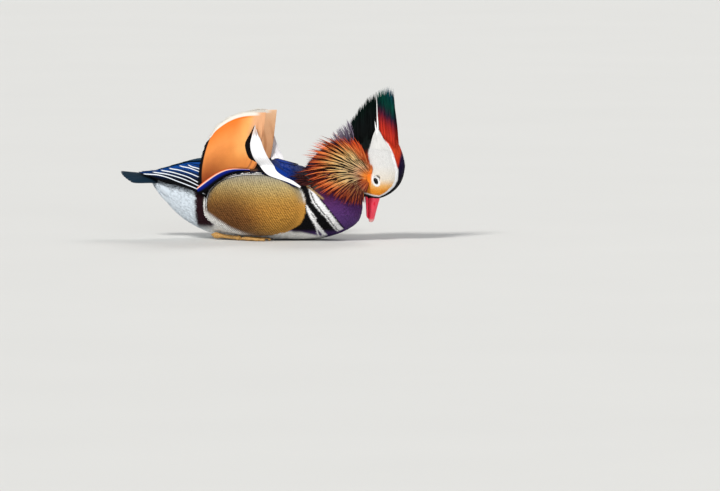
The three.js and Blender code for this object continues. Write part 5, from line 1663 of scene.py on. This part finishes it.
def legOf(word, side):
    hock, ankle = (np.array(leg[key]) * [1, side, 1] for key in ("hock", "ankle"))
    middle = (hock + ankle) / 2
    shin = [hock + [-6, 0, 1], hock, mixed(hock, middle, 0.5), middle, mixed(middle, ankle, 0.7), ankle,
            ankle + [4, 0, -0.6]]
    parts = [tube(shin, leg["shin"])]
    claws = []
    for spread, length in leg["toes"]:
        y = side * (leg["y"] + spread * leg["spread"])
        end = np.array([mixed(ankle[0], leg["toeX"], length), y, leg["toeZ"]])
        path = [mixed(ankle, end, share) + [0, side * spread * 2.5 * math.sin(math.pi * share), 0]
                for share in (0, 0.2, 0.4, 0.55, 0.7, 0.85, 1.0, 1.06)]
        parts.append(tube(path, leg["toe"]))
        tip = np.array(path[-1])
        claws.append(tube([tip - [2.5, 0, -0.3], tip + [0.5, 0, 0.7], tip + [3, 0, 0], tip + [4.6, 0, -1.3]],
                          leg["claw"], 10))
    shares = np.linspace(0, 1, 30)[:, None]
    turn = np.linspace(0, 2 * math.pi, 64, endpoint=False)[None]
    across = np.cos(turn)
    edge = 0.84 - 0.16 * np.sin(2 * math.pi * across) ** 2 - 0.1 * np.abs(across)
    x = ankle[0] + (leg["toeX"] - ankle[0]) * edge * shares + 0 * across
    half = leg["spread"] * edge * (0.14 + shares * 0.86)
    ripple = 0.4 * side * np.sin(3 * math.pi * across)
    y = side * leg["y"] + half * across * (0.5 + 0.5 * (shares > 0)) + ripple
    z = 1.3 + leg["web"] * np.sin(turn) * np.sin(math.pi * shares) ** 0.2 + 0.25 * np.cos(14 * across)
    web = np.stack(np.broadcast_arrays(x, y, z), -1)
    parts.append(capped(web))
    gathered("leg" + word.title(), parts, legLook, "legs", f"leg_{word}", f"foot_{word}")
    gathered("claws" + word.title(), claws, clawLook, "legs")


onBothSides(legOf)
print("eyes, bill and feet done")


# floor, light and camera

stageLook = {"floor": (0.7, 0.7, 0.68, 1), "mottle": 0.96, "radius": 60,
             "world": (0.9, 0.94, 1.0, 1), "worldLight": 0.33}
bpy.ops.object.select_all(action="DESELECT")
bpy.ops.mesh.primitive_circle_add(vertices=128, radius=stageLook["radius"], fill_type="NGON",
                                  location=(0, 0, 0))
floor = bpy.context.object
floor.name = "floor"
floorLook = Finish("paleFloor", {"Roughness": 0.75, "Specular IOR Level": 0.2})
floorTone = floorLook.noise(3.0, 4.0)
floorDark = tuple(value * stageLook["mottle"] for value in stageLook["floor"][:3]) + (1,)
floorLook.feed(Base_Color=floorLook.mix(floorTone, floorDark, stageLook["floor"]))
floor.data.materials.append(floorLook.material)

world = bpy.data.worlds.new("softRoom")
bpy.context.scene.world = world
world.use_nodes = True
world.node_tree.nodes["Background"].inputs["Color"].default_value = stageLook["world"]
world.node_tree.nodes["Background"].inputs["Strength"].default_value = stageLook["worldLight"]


def softSun(name, azimuth, elevation, power, spread, colour):
    light = bpy.data.lights.new(name, "SUN")
    light.energy = power
    light.angle = math.radians(spread)
    light.color = colour
    linked(name, light).rotation_euler = (math.radians(90 - elevation), 0, math.radians(azimuth))


softSun("keyLight", -28, 44, 2.65, 14, (1.0, 0.975, 0.94))
softSun("fillLight", 30, 11, 0.8, 40, (0.95, 0.97, 1.0))
softSun("rimLight", 160, 38, 1.1, 25, (1.0, 0.98, 0.95))

camera = {"azimuth": 12, "elevation": 4, "away": 12.0, "width": 0.9, "across": 0.131, "height": -0.0086}
a, e = math.radians(camera["azimuth"]), math.radians(camera["elevation"])
target = np.array([camera["across"] * math.cos(a), camera["across"] * math.sin(a), camera["height"]])
back = np.array([math.sin(a) * math.cos(e), -math.cos(a) * math.cos(e), math.sin(e)])
cameraData = bpy.data.cameras.new("view")
cameraData.sensor_width = 36
cameraData.lens = 36 * camera["away"] / camera["width"]
cameraData.clip_end = 200
view = linked("view", cameraData)
view.location = target + back * camera["away"]
view.rotation_euler = (math.radians(90) - e, 0, a)
bpy.context.scene.camera = view
bpy.context.scene.view_settings.view_transform = "Standard"
